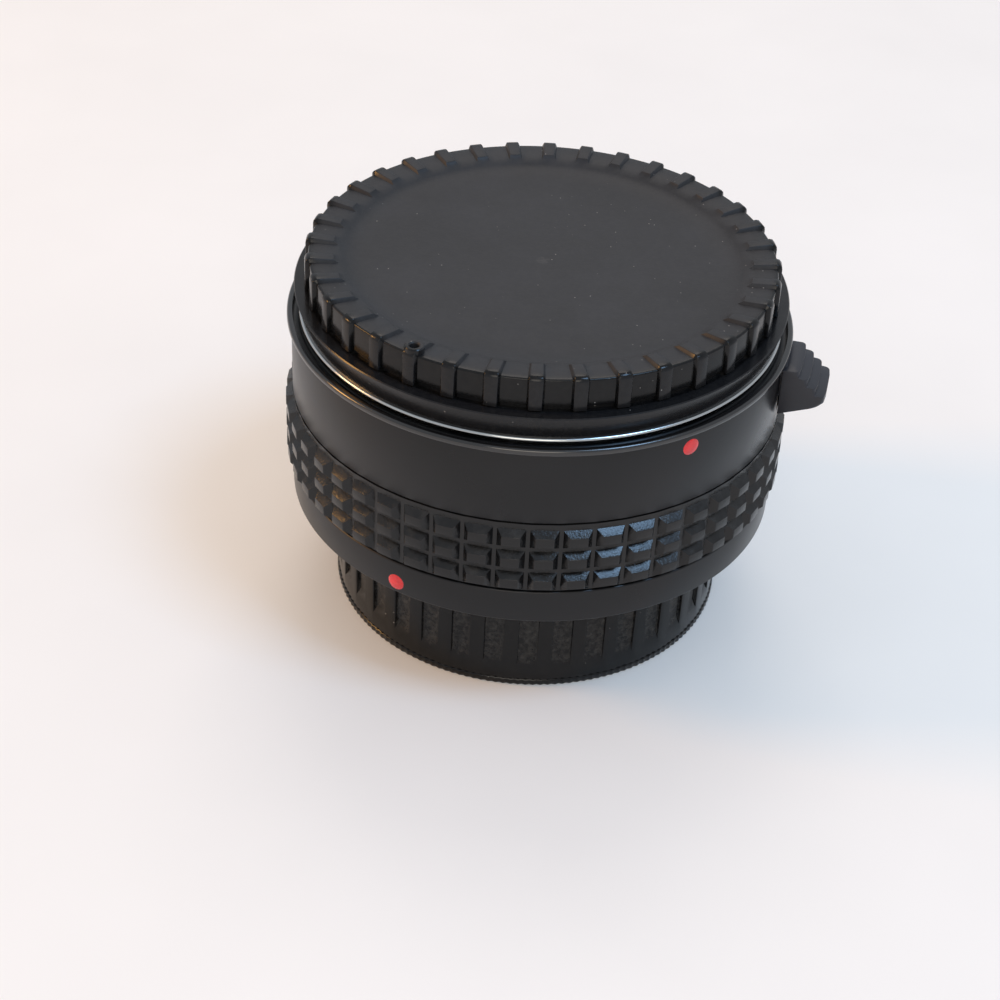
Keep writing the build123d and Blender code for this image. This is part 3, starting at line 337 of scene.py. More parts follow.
def gloss_paint(name, colour):
    """Enamel run into a dimple: glossy and slightly uneven."""
    material, tree, shader, coords = new_material(name, colour, Roughness=0.25, IOR=1.5, Coat_Weight=0.4)
    pool = noise(tree, coords, 1.2, 2.0, 0.5)
    deep = [c * 0.7 for c in colour]
    tree.links.new(mix_colour(tree, remap(tree, pool, 0.35, 0.7), colour, deep), shader.inputs["Base Color"])
    bump(tree, shader, pool, 0.2, 0.08)
    return material


def coated_glass(name, colour):
    """Optical glass with a blue-violet coating: clear, and tinted only in its reflection."""
    material, tree, shader, coords = new_material(
        name, colour, Roughness=0.02, IOR=1.62, Transmission_Weight=1.0, Coat_Weight=0.6, Coat_Roughness=0.03)
    shader.inputs["Coat Tint"].default_value = (*linear("#8f9cff"), 1)
    smear = noise(tree, coords, 7.0, 3.0, 0.6)
    tree.links.new(remap(tree, smear, 0.45, 0.8, 0.015, 0.06), shader.inputs["Roughness"])
    return material


def table_top(name, colour):
    """Painted board: plain, pale and matte with a faint mottle."""
    material, tree, shader, coords = new_material(name, colour, Roughness=0.6)
    mottle = noise(tree, coords, 60.0, 3.0, 0.6)
    shade = [c * 0.965 for c in colour]
    tree.links.new(mix_colour(tree, remap(tree, mottle, 0.35, 0.7), colour, shade),
                   shader.inputs["Base Color"])
    bump(tree, shader, noise(tree, coords, 1.5, 2.0, 0.5), 0.05, 0.05)
    return material


MADE_MATERIALS = {}


def finish_named(slot):
    """The material of a finish, made at its first use."""
    tones = colours()
    if slot not in MADE_MATERIALS:
        MADE_MATERIALS[slot] = {
            "cap_plastic": lambda: moulded_plastic("moulded_plastic", tones.cap_plastic, tones.plain_plastic,
                                                   tones.dust, (MOUNT_RING_R - 1.9 * MM) / MM, 1.0,
                                                   (MOUNT_RING_R - MM) / MM),
            "rear_plastic": lambda: moulded_plastic("dusty_moulded_plastic", tones.plain_plastic,
                                                    tones.plain_plastic, tones.dust, 20.0,
                                                    (LUG_R + 2.5 * MM) / MM, 60.0),
            "satin_black": lambda: dyed_aluminium("satin_dyed_aluminium", tones.satin_black, 0.3),
            # The lever's aluminium is painted lighter than the barrel's: painted light.
            "lever_lit_black": lambda: dyed_aluminium("lit_dyed_aluminium", tones.lever_lit_black, 0.36),
            "lip_black": lambda: dyed_aluminium("polished_dyed_aluminium", tones.lip_black, 0.13, 0.3, 0.8),
            "black_alloy": lambda: dyed_aluminium("matte_dyed_aluminium", linear("#141415"), 0.55),
            "grip_rubber": lambda: grained_rubber("grained_rubber", tones.rubber, tones.dust),
            "chromed": lambda: plated_metal("chromed_brass", tones.chrome, 0.12),
            "bright_steel": lambda: plated_metal("bright_steel", linear("#c3c4c6"), 0.24),
            "spring_steel": lambda: plated_metal("spring_steel", linear("#9a9b9f"), 0.3),
            "lever_brass": lambda: plated_metal("machined_brass", linear("#b5985a"), 0.3),
            "red_paint": lambda: gloss_paint("red_enamel", tones.dot_red),
            "coated_glass": lambda: coated_glass("coated_glass", linear("#e8ecff")),
            "table": lambda: table_top("painted_board", tones.floor),
        }[slot]()
    return MADE_MATERIALS[slot]


# Modelling

def deselect():
    if bpy.context.object and bpy.context.object.mode != "OBJECT":
        bpy.ops.object.mode_set(mode="OBJECT")
    bpy.ops.object.select_all(action="DESELECT")


def activate(*pieces):
    deselect()
    for piece in pieces:
        piece.select_set(True)
    bpy.context.view_layer.objects.active = pieces[0]


def draw_line(points):
    """A new mesh in edit mode, all selected: a vertex extruded along (radius, height) points."""
    deselect()
    radius, height = points[0]
    bpy.ops.mesh.primitive_plane_add(size=MM, location=(0, -radius, height))
    bpy.ops.object.transform_apply(location=True)
    bpy.ops.object.mode_set(mode="EDIT")
    bpy.ops.mesh.select_mode(type="VERT")
    bpy.ops.mesh.select_all(action="SELECT")
    bpy.ops.mesh.merge(type="CENTER")
    for (was_r, was_z), (r, z) in zip(points, points[1:]):
        bpy.ops.mesh.extrude_vertices_move(TRANSFORM_OT_translate={"value": (0, was_r - r, z - was_z)})
    bpy.ops.mesh.select_all(action="SELECT")
    return bpy.context.object


def spin(steps, degrees, copies=False, center=(0, 0, 0)):
    bpy.ops.mesh.spin(steps=steps, angle=math.radians(degrees), center=center, axis=(0, 0, 1),
                      dupli=copies)


def pick(test, kind="FACE"):
    """Select, in edit mode, what passes the test: by place and normal, or direction for an edge."""
    bpy.ops.mesh.select_mode(type=kind)
    bpy.ops.mesh.select_all(action="DESELECT")
    mesh = bmesh.from_edit_mesh(bpy.context.object.data)
    if kind == "FACE":
        chosen = [f for f in mesh.faces if test(f.calc_center_median(), f.normal)]
    elif kind == "EDGE":
        chosen = [e for e in mesh.edges if test((e.verts[0].co + e.verts[1].co) / 2,
                                                (e.verts[1].co - e.verts[0].co).normalized())]
    else:
        chosen = [v for v in mesh.verts if test(v.co, v.normal)]
    for item in chosen:
        item.select_set(True)
    mesh.select_flush_mode()
    bmesh.update_edit_mesh(bpy.context.object.data)
    return len(chosen)


def weld(distance=0.002 * MM):
    bpy.ops.mesh.select_mode(type="VERT")
    bpy.ops.mesh.select_all(action="SELECT")
    bpy.ops.mesh.remove_doubles(threshold=distance)
    bpy.ops.mesh.select_all(action="SELECT")
    bpy.ops.mesh.normals_make_consistent(inside=False)


def close_holes():
    """Fill the open rims that are left, such as the middle of a face or the ends of a part turn."""
    bpy.ops.mesh.select_mode(type="EDGE")
    bpy.ops.mesh.select_all(action="DESELECT")
    bpy.ops.mesh.select_non_manifold(extend=False, use_wire=False, use_boundary=True, use_multi_face=False,
                                     use_non_contiguous=False, use_verts=False)
    bpy.ops.mesh.edge_face_add()
    bpy.ops.mesh.select_all(action="SELECT")
    bpy.ops.mesh.normals_make_consistent(inside=False)


def radius_of(place):
    return math.hypot(place.x, place.y)


def azimuth_of(place):
    return math.degrees(math.atan2(place.x, -place.y))


def turned(points, steps=None, degrees=360.0):
    """Solid turned from a closed outline of (radius, height) points."""
    piece = draw_line([*points, points[0]])
    spin(steps or sizes().steps, degrees)
    weld()
    if degrees < 360:
        close_holes()
    bpy.ops.object.mode_set(mode="OBJECT")
    return piece


def rounded_edge(radius, top, width, steps=5):
    """Outline points of a quarter round at the top of a wall, from the wall inwards."""
    turns = [i / steps * math.pi / 2 for i in range(steps + 1)]
    return [(radius - width * (1 - math.cos(t)), top - width * (1 - math.sin(t))) for t in turns]


def sector(inner, outer, low, high, azimuth, span):
    """Piece of a tube, centred on an azimuth."""
    steps = max(4, round(span / 3))
    piece = turned([(inner, low), (outer, low), (outer, high), (inner, high)], steps, span)
    middle = sum((v.co for v in piece.data.vertices), Vector()) / len(piece.data.vertices)
    turn_to(piece, azimuth - azimuth_of(middle))
    return piece


def turn_to(piece, azimuth):
    """Turn a finished mesh about Z, keeping its object untransformed."""
    activate(piece)
    piece.rotation_euler = (0, 0, math.radians(azimuth))
    bpy.ops.object.transform_apply(rotation=True, location=True, scale=True)


def box_at(width, inner, outer, low, high):
    """Box at the front: centred across, from one radius to another, from one height to another."""
    deselect()
    bpy.ops.mesh.primitive_cube_add(size=1, location=(0, -(inner + outer) / 2, (low + high) / 2))
    piece = bpy.context.object
    piece.scale = (width, outer - inner, high - low)
    bpy.ops.object.transform_apply(location=True, rotation=True, scale=True)
    return piece


def upright(radius, circle, low, high, tip=None):
    """Upright round bar at the front, on a circle about the axis; a tip radius makes it a cone."""
    deselect()
    bpy.ops.mesh.primitive_cone_add(vertices=32, radius1=radius, radius2=radius if tip is None else tip,
                                    depth=high - low, location=(0, -circle, (low + high) / 2))
    piece = bpy.context.object
    bpy.ops.object.transform_apply(location=True, rotation=True, scale=True)
    return piece


def join(*pieces):
    activate(*pieces)
    if len(pieces) > 1:
        bpy.ops.object.join()
    return bpy.context.object


def carve(piece, *cutters):
    """Cut the cutters out of a piece."""
    cutter = join(*cutters)
    activate(piece)
    cut = piece.modifiers.new("cut", "BOOLEAN")
    cut.object = cutter
    cut.operation = "DIFFERENCE"
    cut.solver = "EXACT"
    cut.use_self = len(cutters) > 1
    bpy.ops.object.modifier_apply(modifier="cut")
    bpy.data.objects.remove(cutter)


def round_edges(piece, width, angle=30.0, segments=2):
    """Break the sharp edges, as on a real machined or moulded piece."""
    activate(piece)
    bevel = piece.modifiers.new("edges", "BEVEL")
    bevel.width = width
    bevel.segments = segments
    bevel.limit_method = "ANGLE"
    bevel.angle_limit = math.radians(angle)
    bevel.use_clamp_overlap = True
    bpy.ops.object.modifier_apply(modifier="edges")


def dress(piece, name, body, slot, *nodes, shown_as=None, smooth=38.0):
    """Name a finished piece, shade it, give it its material, and let it ride and stand for its nodes."""
    activate(piece)
    bpy.ops.object.shade_smooth_by_angle(angle=math.radians(smooth))
    piece.name = name
    piece.data.name = name
    piece.data.materials.clear()
    piece.data.materials.append(finish_named(shown_as or slot))
    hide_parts(*nodes)
    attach(piece, body)
    deselect()
    return piece


def lug_azimuths(start):
    return [(start + index * LUG_PITCH, span) for index, span in enumerate(LUG_SPANS)]


def bayonet_lugs(low, start):
    """The lugs of a male bayonet, rooted in its collar, from the height of their lower faces."""
    return [sector(COLLAR_R - 0.3 * MM, LUG_R, low, low + LUG_THICK, azimuth, span)
            for azimuth, span in lug_azimuths(start)]


def between_lugs(start):
    """Azimuth and span of the three spaces between the lugs, less the play at each side."""
    lugs = lug_azimuths(start)
    spaces = []
    for index, (azimuth, span) in enumerate(lugs):
        _, next_span = lugs[(index + 1) % len(lugs)]
        low = azimuth + span / 2 + INSERT_PLAY
        high = azimuth + LUG_PITCH - next_span / 2 - INSERT_PLAY
        spaces.append(((low + high) / 2, high - low))
    return spaces


def screw_seats(face, sign, circle, first):
    """Cutters for countersunk screws: a cone head and a shank, all round."""
    seats = []
    for index in range(SCREWS):
        azimuth = first + index * 360 / SCREWS
        head, shank, depth, over = 1.55 * MM, 0.85 * MM, 0.8 * MM, 0.5 * MM
        overlap, bottom = 0.04 * MM, 4 * MM
        low, high = sorted((face, face - sign * depth))
        radii = (shank, head) if sign > 0 else (head, shank)
        cone = upright(radii[0], circle, low, high, radii[1])
        low, high = sorted((face - sign * overlap, face + sign * over))
        mouth = upright(head, circle, low, high)
        low, high = sorted((face - sign * (depth - overlap), face - sign * bottom))
        hole = upright(shank, circle, low, high)
        for part in (cone, mouth, hole):
            turn_to(part, azimuth)
            seats.append(part)
    return seats


class CONVERTER_OT_front_cap(Operator):
    """Ribbed cap on the lens side, with its dished face and its bayonet"""

    bl_idname = "converter.front_cap"
    bl_label = "Front cap"

    def execute(self, context):
        size = sizes()
        pitch = 360 / size.cap_ribs
        band_r = MOUNT_RING_R + 0.55 * MM
        band_foot_r = band_r - 0.85 * MM
        panel_r = MOUNT_RING_R - 1.35 * MM
        band_z = FLANGE_Z + 3.25 * MM
        rim_z = FLANGE_Z + 7.55 * MM
        rim_in = panel_r - 3.8 * MM
        dish_z = rim_z - 1.3 * MM
        roof_z = dish_z - 1.8 * MM
        skirt_z = FLANGE_Z + 2.6 * MM
        skirt_r = band_foot_r - 1.6 * MM
        collar_foot = FLANGE_Z - LUG_DEPTH
        middle_r = 8 * MM
        undercut_r = panel_r - 0.35 * MM
        # Millimetres in from the rim or the panel, and above the dish or below the rim
        dish_rise = ((5.0, 0), (3.6, 0.06), (2.4, 0.17), (1.4, 0.35), (0.6, 0.63))
        rim_edge = ((0.28, 0.06), (0.12, 0.1), (0.03, 0.2), (0, 0.36))
        outline = [
            (middle_r, dish_z), *[(rim_in - run * MM, dish_z + rise * MM) for run, rise in dish_rise],
            (rim_in, rim_z - 0.3 * MM), *[(panel_r - run * MM, rim_z - drop * MM) for run, drop in rim_edge],
            (panel_r + 0.05 * MM, band_z + 0.65 * MM), (undercut_r, band_z + 0.6 * MM),
            (undercut_r, band_z), (band_r - 0.12 * MM, band_z), (band_r, band_z - 0.14 * MM),
            (band_r - 0.12 * MM, band_z - 0.6 * MM), (band_r - 0.2 * MM, band_z - 0.64 * MM),
            (band_foot_r, FLANGE_Z), (skirt_r, FLANGE_Z), (skirt_r, skirt_z), (COLLAR_R, skirt_z),
            (COLLAR_R, collar_foot), (COLLAR_BORE_R, collar_foot), (COLLAR_BORE_R, roof_z),
            (middle_r, roof_z),
        ]
        cap = draw_line(outline)
        rib_angle = math.degrees(size.rib_width / panel_r)
        land = (pitch - rib_angle) / 2
        spin(2, land)
        spin(2, rib_angle)
        spin(2, land)
        weld()
        wall_r = 30 * MM
        centre = sum((v.co for v in bmesh.from_edit_mesh(cap.data).verts if radius_of(v.co) > wall_r),
                     Vector())
        centre_az = azimuth_of(centre)
        bpy.ops.object.mode_set(mode="OBJECT")
        turn_to(cap, -centre_az)
        bpy.ops.object.mode_set(mode="EDIT")
        self.raise_rib(rib_angle, rim_in, rim_z, band_z, size)
        weld()
        bpy.ops.mesh.select_all(action="SELECT")
        spin(size.cap_ribs, 360, copies=True)
        weld()
        close_holes()
        bpy.ops.object.mode_set(mode="OBJECT")
        turn_to(cap, CAP_RIB_AZ)
        self.sink_mark(cap, rim_z)
        cap = join(cap, *bayonet_lugs(collar_foot, FRONT_DOT_AZ), self.position_mark(rim_z))
        dress(cap, "moulded_front_cap", "front_cap", "cap_plastic", "front_cap")
        return {"FINISHED"}

    @staticmethod
    def raise_rib(rib_angle, rim_in, rim_z, band_z, size):
        """Extrude one rib out of the rim and the side, narrow its crest, round it and slope its inner end."""
        half = rib_angle / 2
        crest_share = 0.76
        inner_slope = (0, -0.6 * MM, -0.08 * MM)
        pick(lambda at, n: abs(azimuth_of(at)) < half and radius_of(at) > rim_in
             and at.z > band_z + NEAR)
        bpy.ops.mesh.extrude_region_shrink_fatten(
            TRANSFORM_OT_shrink_fatten={"value": size.rib_proud, "use_even_offset": True})
        bpy.ops.transform.resize(value=(crest_share, 1, 1), center_override=(0, 0, 0))
        bpy.ops.mesh.region_to_loop()
        bpy.ops.mesh.bevel(offset=0.08 * MM, segments=2, affect="EDGES", clamp_overlap=True)
        pick(lambda at, n: abs(radius_of(at) - rim_in) < 0.4 * MM and abs(azimuth_of(at)) < half
             and at.z > rim_z - 0.15 * MM, "VERT")
        bpy.ops.transform.translate(value=inner_slope)

    @staticmethod
    def sink_mark(cap, rim_z):
        """Blind hole in the middle of the mark."""
        radius, depth, over = 0.62 * MM, 0.9 * MM, 2 * MM
        hole = upright(radius, MARK_CIRCLE_R, rim_z - depth, rim_z + over)
        turn_to(hole, MARK_AZ)
        carve(cap, hole)

    @staticmethod
    def position_mark(rim_z):
        """Raised ring on one rib that shows where the cap locks."""
        circle = MARK_CIRCLE_R
        low, high = rim_z - 0.3 * MM, rim_z + 0.72 * MM
        shoulder = high - 0.15 * MM
        bore, outer = circle + 0.6 * MM, circle + 1.25 * MM
        ring = draw_line([(bore, low), (outer, low), (outer, shoulder), (circle + 1.1 * MM, high),
                          (circle + 0.75 * MM, high), (bore, shoulder), (bore, low)])
        spin(32, 360, center=(0, -circle, 0))
        weld()
        bpy.ops.object.mode_set(mode="OBJECT")
        turn_to(ring, MARK_AZ)
        return ring


class CONVERTER_OT_rear_cap(Operator):
    """Fluted cap on the camera side, with its scalloped foot and inner tabs"""

    bl_idname = "converter.rear_cap"
    bl_label = "Rear cap"

    def execute(self, context):
        size = sizes()
        outer = LUG_R + 2.6 * MM
        bore = LUG_R + 0.5 * MM
        top = PLATE_LOW_Z
        foot = 0.9 * MM
        floor_z = 2.0 * MM
        flute_foot = 3.16 * MM
        depth = 0.5 * MM
        recess = 0.5 * MM
        disc_r = 11 * MM
        middle_r = 4 * MM
        rim_r = outer - 3 * MM
        edge = 0.25 * MM
        pitch = 360 / size.flutes
        flute_share = 0.58
        flute = pitch * flute_share
        outline = [
            (middle_r, 0), (disc_r, 0), (disc_r + recess, recess), (rim_r - recess, recess), (rim_r, 0),
            (outer - edge, 0), (outer, edge), (outer, foot + 0.3 * MM), (outer, flute_foot),
            (outer, top), (outer - depth, top), (bore, top), (bore, floor_z), (middle_r, floor_z),
        ]
        cap = draw_line(outline)
        spin(1, flute)
        spin(3, pitch - flute)
        weld()
        middle = self.cut_flute(outer, depth, flute_foot, top)
        weld()
        bpy.ops.mesh.select_all(action="SELECT")
        spin(size.flutes, 360, copies=True)
        weld()
        close_holes()
        bpy.ops.object.mode_set(mode="OBJECT")
        turn_to(cap, FLUTE_AZ - middle)
        round_edges(cap, 0.09 * MM, 40)
        tab_gap, tab_thick = 1.75 * MM, 1.5 * MM
        tab_high = top - LUG_DEPTH + LUG_THICK + tab_gap
        tabs = [sector(TAB_R, bore + 0.2 * MM, tab_high - tab_thick, tab_high, azimuth, span)
                for azimuth, span in between_lugs(REAR_DOT_AZ)]
        cap = join(cap, self.scalloped_foot(outer, foot), *tabs)
        dress(cap, "moulded_rear_cap", "rear_cap", "cap_plastic", "rear_cap", shown_as="rear_plastic")
        return {"FINISHED"}

    @staticmethod
    def cut_flute(outer, depth, foot, top):
        """Open one flute in its column of the sector: back wall, a foot that runs out, and two sides."""
        mesh = bmesh.from_edit_mesh(bpy.context.object.data)
        turns = sorted({round(azimuth_of(v.co), 4) for v in mesh.verts
                        if radius_of(v.co) > outer - depth / 2})
        gaps = [(b - a, a, b) for a, b in zip(turns, turns[1:])]
        _, first, last = max(gaps)
        middle = (first + last) / 2
        near = (last - first) / 2
        pick(lambda at, n: abs(azimuth_of(at) - middle) < near * 0.5
             and (radius_of(at) > outer - depth * 0.75 and at.z > foot))
        bpy.ops.mesh.delete(type="FACE")
        back = outer - depth
        pick(lambda at, n: abs(azimuth_of(at) - middle) < near * 0.5 and abs(radius_of(at) - back) < 0.05 * MM
             and abs(at.z - top) < NEAR, "EDGE")
        run_out = 1.3 * MM
        bpy.ops.mesh.extrude_edges_move(TRANSFORM_OT_translate={"value": (0, 0, foot + run_out - top)})
        bpy.ops.mesh.extrude_edges_move(TRANSFORM_OT_translate={"value": (0, 0, -run_out)})
        bpy.ops.transform.resize(value=(outer / back, outer / back, 1), center_override=(0, 0, 0))
        weld()
        for side in (first, last):
            pick(lambda at, n: abs(azimuth_of(at) - side) < 0.01 and radius_of(at) > back - 0.05 * MM
                 and at.z > foot - NEAR, "VERT")
            bpy.ops.mesh.edge_face_add()
        return middle

    @staticmethod
    def scalloped_foot(outer, foot):
        """Low ring whose edge is pulled in between the scallops."""
        out = outer + 0.2 * MM
        edge, low, dip = 0.1 * MM, 0.02 * MM, 0.17 * MM
        count = sizes().scallops
        ring = draw_line([(outer - edge, low), (out - edge, low), (out, 0.15 * MM),
                          (out, foot - 0.12 * MM), (out - edge, foot), (outer - edge, foot),
                          (outer - edge, low)])
        spin(2 * count, 360)
        weld()
        half = 180 / count
        pick(lambda at, n: radius_of(at) > outer and round(azimuth_of(at) / half) % 2 == 0, "VERT")
        share = (out - dip) / out
        bpy.ops.transform.resize(value=(share, share, 1), center_override=(0, 0, 0))
        bpy.ops.object.mode_set(mode="OBJECT")
        return ring


class CONVERTER_OT_barrel(Operator):
    """Satin barrel with its polished lip, and its red dot"""

    bl_idname = "converter.barrel"
    bl_label = "Barrel"

    def execute(self, context):
        lip_top = FLANGE_Z - 0.6 * MM
        lip_low = lip_top - 0.95 * MM
        neck = BARREL_R - 0.3 * MM
        lip_in = LIP_R - 0.7 * MM
        seat_r = MOUNT_RING_R + 0.1 * MM
        seam_top = GRIP_TOP_Z + 0.25 * MM
        step = 0.15 * MM
        shell = turned([
            (BORE_R, PLATE_TOP_Z), (SPIGOT_R, PLATE_TOP_Z), (SPIGOT_R, RING_TOP_Z), (GRIP_BORE_R, RING_TOP_Z),
            (GRIP_BORE_R, GRIP_TOP_Z), (neck, GRIP_TOP_Z), (neck, seam_top),
            (BARREL_R, seam_top), (BARREL_R, lip_low - step),
            (BARREL_R - step, lip_low - 0.02 * MM), (BARREL_R - step, lip_low), (lip_in, lip_low),
            (lip_in, SEAT_Z + step), (seat_r, SEAT_Z + step), (seat_r, SEAT_Z), (THROAT_R, SEAT_Z),
            (THROAT_R, UNDER_Z), (BORE_R, UNDER_Z),
        ])
        slot_top, slot_w, slot_tall = lip_low - 0.53 * MM, 6.2 * MM, 6.8 * MM
        slot = box_at(slot_w, BORE_R - 0.6 * MM, LIP_R + MM, slot_top - slot_tall, slot_top)
        turn_to(slot, LEVER_AZ)
        hole = upright(PIN_BORE_R, PIN_CIRCLE_R, UNDER_Z - MM, SEAT_Z + MM)
        turn_to(hole, LEVER_AZ)
        carve(shell, slot)
        carve(shell, hole)
        carve(shell, *screw_seats(FLANGE_Z, 1, PIN_CIRCLE_R, FRONT_SCREWS_AZ))
        round_edges(shell, 0.07 * MM, 40)
        dress(shell, "satin_barrel", "converter", "satin_black", "barrel_shell")
        lip = turned([
            (lip_in, lip_low + 0.02 * MM), (LIP_R - 0.3 * MM, lip_low + 0.04 * MM),
            (LIP_R - 0.09 * MM, lip_low + 0.13 * MM), (LIP_R, lip_low + 0.3 * MM),
            *rounded_edge(LIP_R, lip_top, 0.4 * MM), (lip_in, lip_top),
        ])
        dress(lip, "polished_lip", "converter", "satin_black", "barrel_shell", shown_as="lip_black")
        dot = index_dot("front_red_dot", BARREL_R, FRONT_DOT_AZ, lip_low - 1.87 * MM)
        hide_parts("front_index_dot")
        return {"FINISHED"}


def index_dot(name, radius, azimuth, height):
    """Domed drop of paint in its dimple, turned about its own axis and laid on the wall."""
    half = 1.15 * MM
    dot = turned([(0, -0.4 * MM), (half, -0.4 * MM), (half, -0.02 * MM), (half * 0.86, 0.06 * MM),
                  (half * 0.6, 0.12 * MM), (half * 0.3, 0.145 * MM), (0, 0.15 * MM)], 40)
    activate(dot)
    dot.rotation_euler = (math.radians(90), 0, 0)
    dot.location = (0, -radius, height)
    bpy.ops.object.transform_apply(location=True, rotation=True, scale=True)
    turn_to(dot, azimuth)
    return dress(dot, name, "converter", "red_paint", name.replace("_red_dot", "_index_dot"))


class CONVERTER_OT_grip(Operator):
    """Rubber sleeve with rows and columns of raised blocks"""

    bl_idname = "converter.grip"
    bl_label = "Grip"

    def execute(self, context):
        size = sizes()
        outer = BARREL_R + MM
        floor_r = outer - size.grip_depth
        pitch = 360 / size.grip_columns
        slope = 0.68 * MM
        flat = 1.3 * MM
        row_pitch = 3.27 * MM
        rows = 3
        top_rim = 0.83 * MM
        first = GRIP_TOP_Z - top_rim - (rows - 1) * row_pitch - flat - 2 * slope
        groove_w = 0.5 * MM
        groove = math.degrees(groove_w / floor_r)
        bore = GRIP_BORE_R + 0.05 * MM
        points = [(bore, GRIP_LOW_Z), (floor_r, GRIP_LOW_Z)]
        for row in range(rows):
            low = first + row * row_pitch
            points += [(floor_r, low), (floor_r, low + flat + 2 * slope)]
        points += [(floor_r, GRIP_TOP_Z), (bore, GRIP_TOP_Z)]
        sleeve = draw_line([*points, points[0]])
        spin(1, groove)
        spin(1, pitch - groove)
        weld()
        mesh = bmesh.from_edit_mesh(sleeve.data)
        turns = sorted({round(azimuth_of(v.co), 4) for v in mesh.verts})
        _, near, far = max((b - a, a, b) for a, b in zip(turns, turns[1:]))
        middle = (near + far) / 2
        heights = [first + row * row_pitch + slope + flat / 2 for row in range(rows)]
        pick(lambda at, n: abs(azimuth_of(at) - middle) < 0.5 and radius_of(at) > floor_r - 0.1 * MM
             and any(abs(at.z - z) < flat / 2 for z in heights))
        bpy.ops.mesh.inset(thickness=slope, depth=size.grip_depth, use_individual=True, use_even_offset=True)
        bpy.ops.mesh.region_to_loop()
        bpy.ops.mesh.bevel(offset=FINE_EDGE, segments=2, affect="EDGES", clamp_overlap=True)
        weld()
        bpy.ops.mesh.select_all(action="SELECT")
        spin(size.grip_columns, 360, copies=True)
        weld()
        bpy.ops.object.mode_set(mode="OBJECT")
        turn_to(sleeve, GRIP_GROOVE_AZ + pitch / 2 - middle)
        dress(sleeve, "rubber_grip", "converter", "grip_rubber", "grip_sleeve", smooth=25)
        return {"FINISHED"}


class CONVERTER_OT_rear_ring(Operator):
    """Smooth ring at the camera side, and its red dot"""

    bl_idname = "converter.rear_ring"
    bl_label = "Rear ring"

    def execute(self, context):
        bore = SPIGOT_R + 0.05 * MM
        lip_bore = PLATE_R + 0.1 * MM
        edge = 0.15 * MM
        ring = turned([
            (lip_bore, RING_LOW_Z), (REAR_RING_R - edge, RING_LOW_Z), (REAR_RING_R, RING_LOW_Z + edge),
            (REAR_RING_R, RING_TOP_Z - edge), (REAR_RING_R - edge, RING_TOP_Z), (bore, RING_TOP_Z),
            (bore, PLATE_TOP_Z), (lip_bore, PLATE_TOP_Z),
        ])
        round_edges(ring, FINE_EDGE)
        dress(ring, "satin_rear_ring", "converter", "satin_black", "rear_ring")
        dot = index_dot("rear_red_dot", REAR_RING_R, REAR_DOT_AZ, RING_LOW_Z + 1.64 * MM)
        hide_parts("rear_index_dot")
        return {"FINISHED"}


class CONVERTER_OT_mounts(Operator):
    """Polished bayonets: the ring on the lens side and the plate on the camera side"""

    bl_idname = "converter.mounts"
    bl_label = "Mounts"

    def execute(self, context):
        edge = sizes().edge
        ring = turned([(TAB_R, SEAT_Z), (MOUNT_RING_R, SEAT_Z),
                       *rounded_edge(MOUNT_RING_R, FLANGE_Z, 0.3 * MM), (TAB_R, FLANGE_Z)])
        for azimuth, span in lug_azimuths(FRONT_DOT_AZ):
            carve(ring, sector(TAB_R - MM, INSERT_R, SEAT_Z - MM, FLANGE_Z + MM, azimuth,
                               span + 2 * INSERT_PLAY))
        hole = upright(PIN_BORE_R, PIN_CIRCLE_R, SEAT_Z - MM, FLANGE_Z + MM)
        turn_to(hole, LEVER_AZ)
        carve(ring, hole)
        carve(ring, *screw_seats(FLANGE_Z, 1, PIN_CIRCLE_R, FRONT_SCREWS_AZ))
        round_edges(ring, edge)
        dress(ring, "chromed_mount_ring", "converter", "chromed", "front_mount_ring")
        collar_foot = PLATE_LOW_Z - LUG_DEPTH
        plate = turned([
            (COLLAR_BORE_R, collar_foot), (COLLAR_R, collar_foot), (COLLAR_R, PLATE_LOW_Z),
            (PLATE_R, PLATE_LOW_Z), (PLATE_R, PLATE_TOP_Z), (COLLAR_BORE_R, PLATE_TOP_Z),
        ])
        notch = upright(1.2 * MM, REAR_SCREW_CIRCLE_R, PLATE_LOW_Z - MM, PLATE_TOP_Z + MM)
        turn_to(notch, LOCK_NOTCH_AZ)
        carve(plate, notch)
        carve(plate, *screw_seats(PLATE_LOW_Z, -1, REAR_SCREW_CIRCLE_R, REAR_SCREWS_AZ))
        lugs = bayonet_lugs(collar_foot, REAR_DOT_AZ)
        round_edges(plate, edge)
        plate = join(plate, *lugs)
        dress(plate, "chromed_mount_plate", "converter", "chromed", "rear_mount_plate")
        return {"FINISHED"}


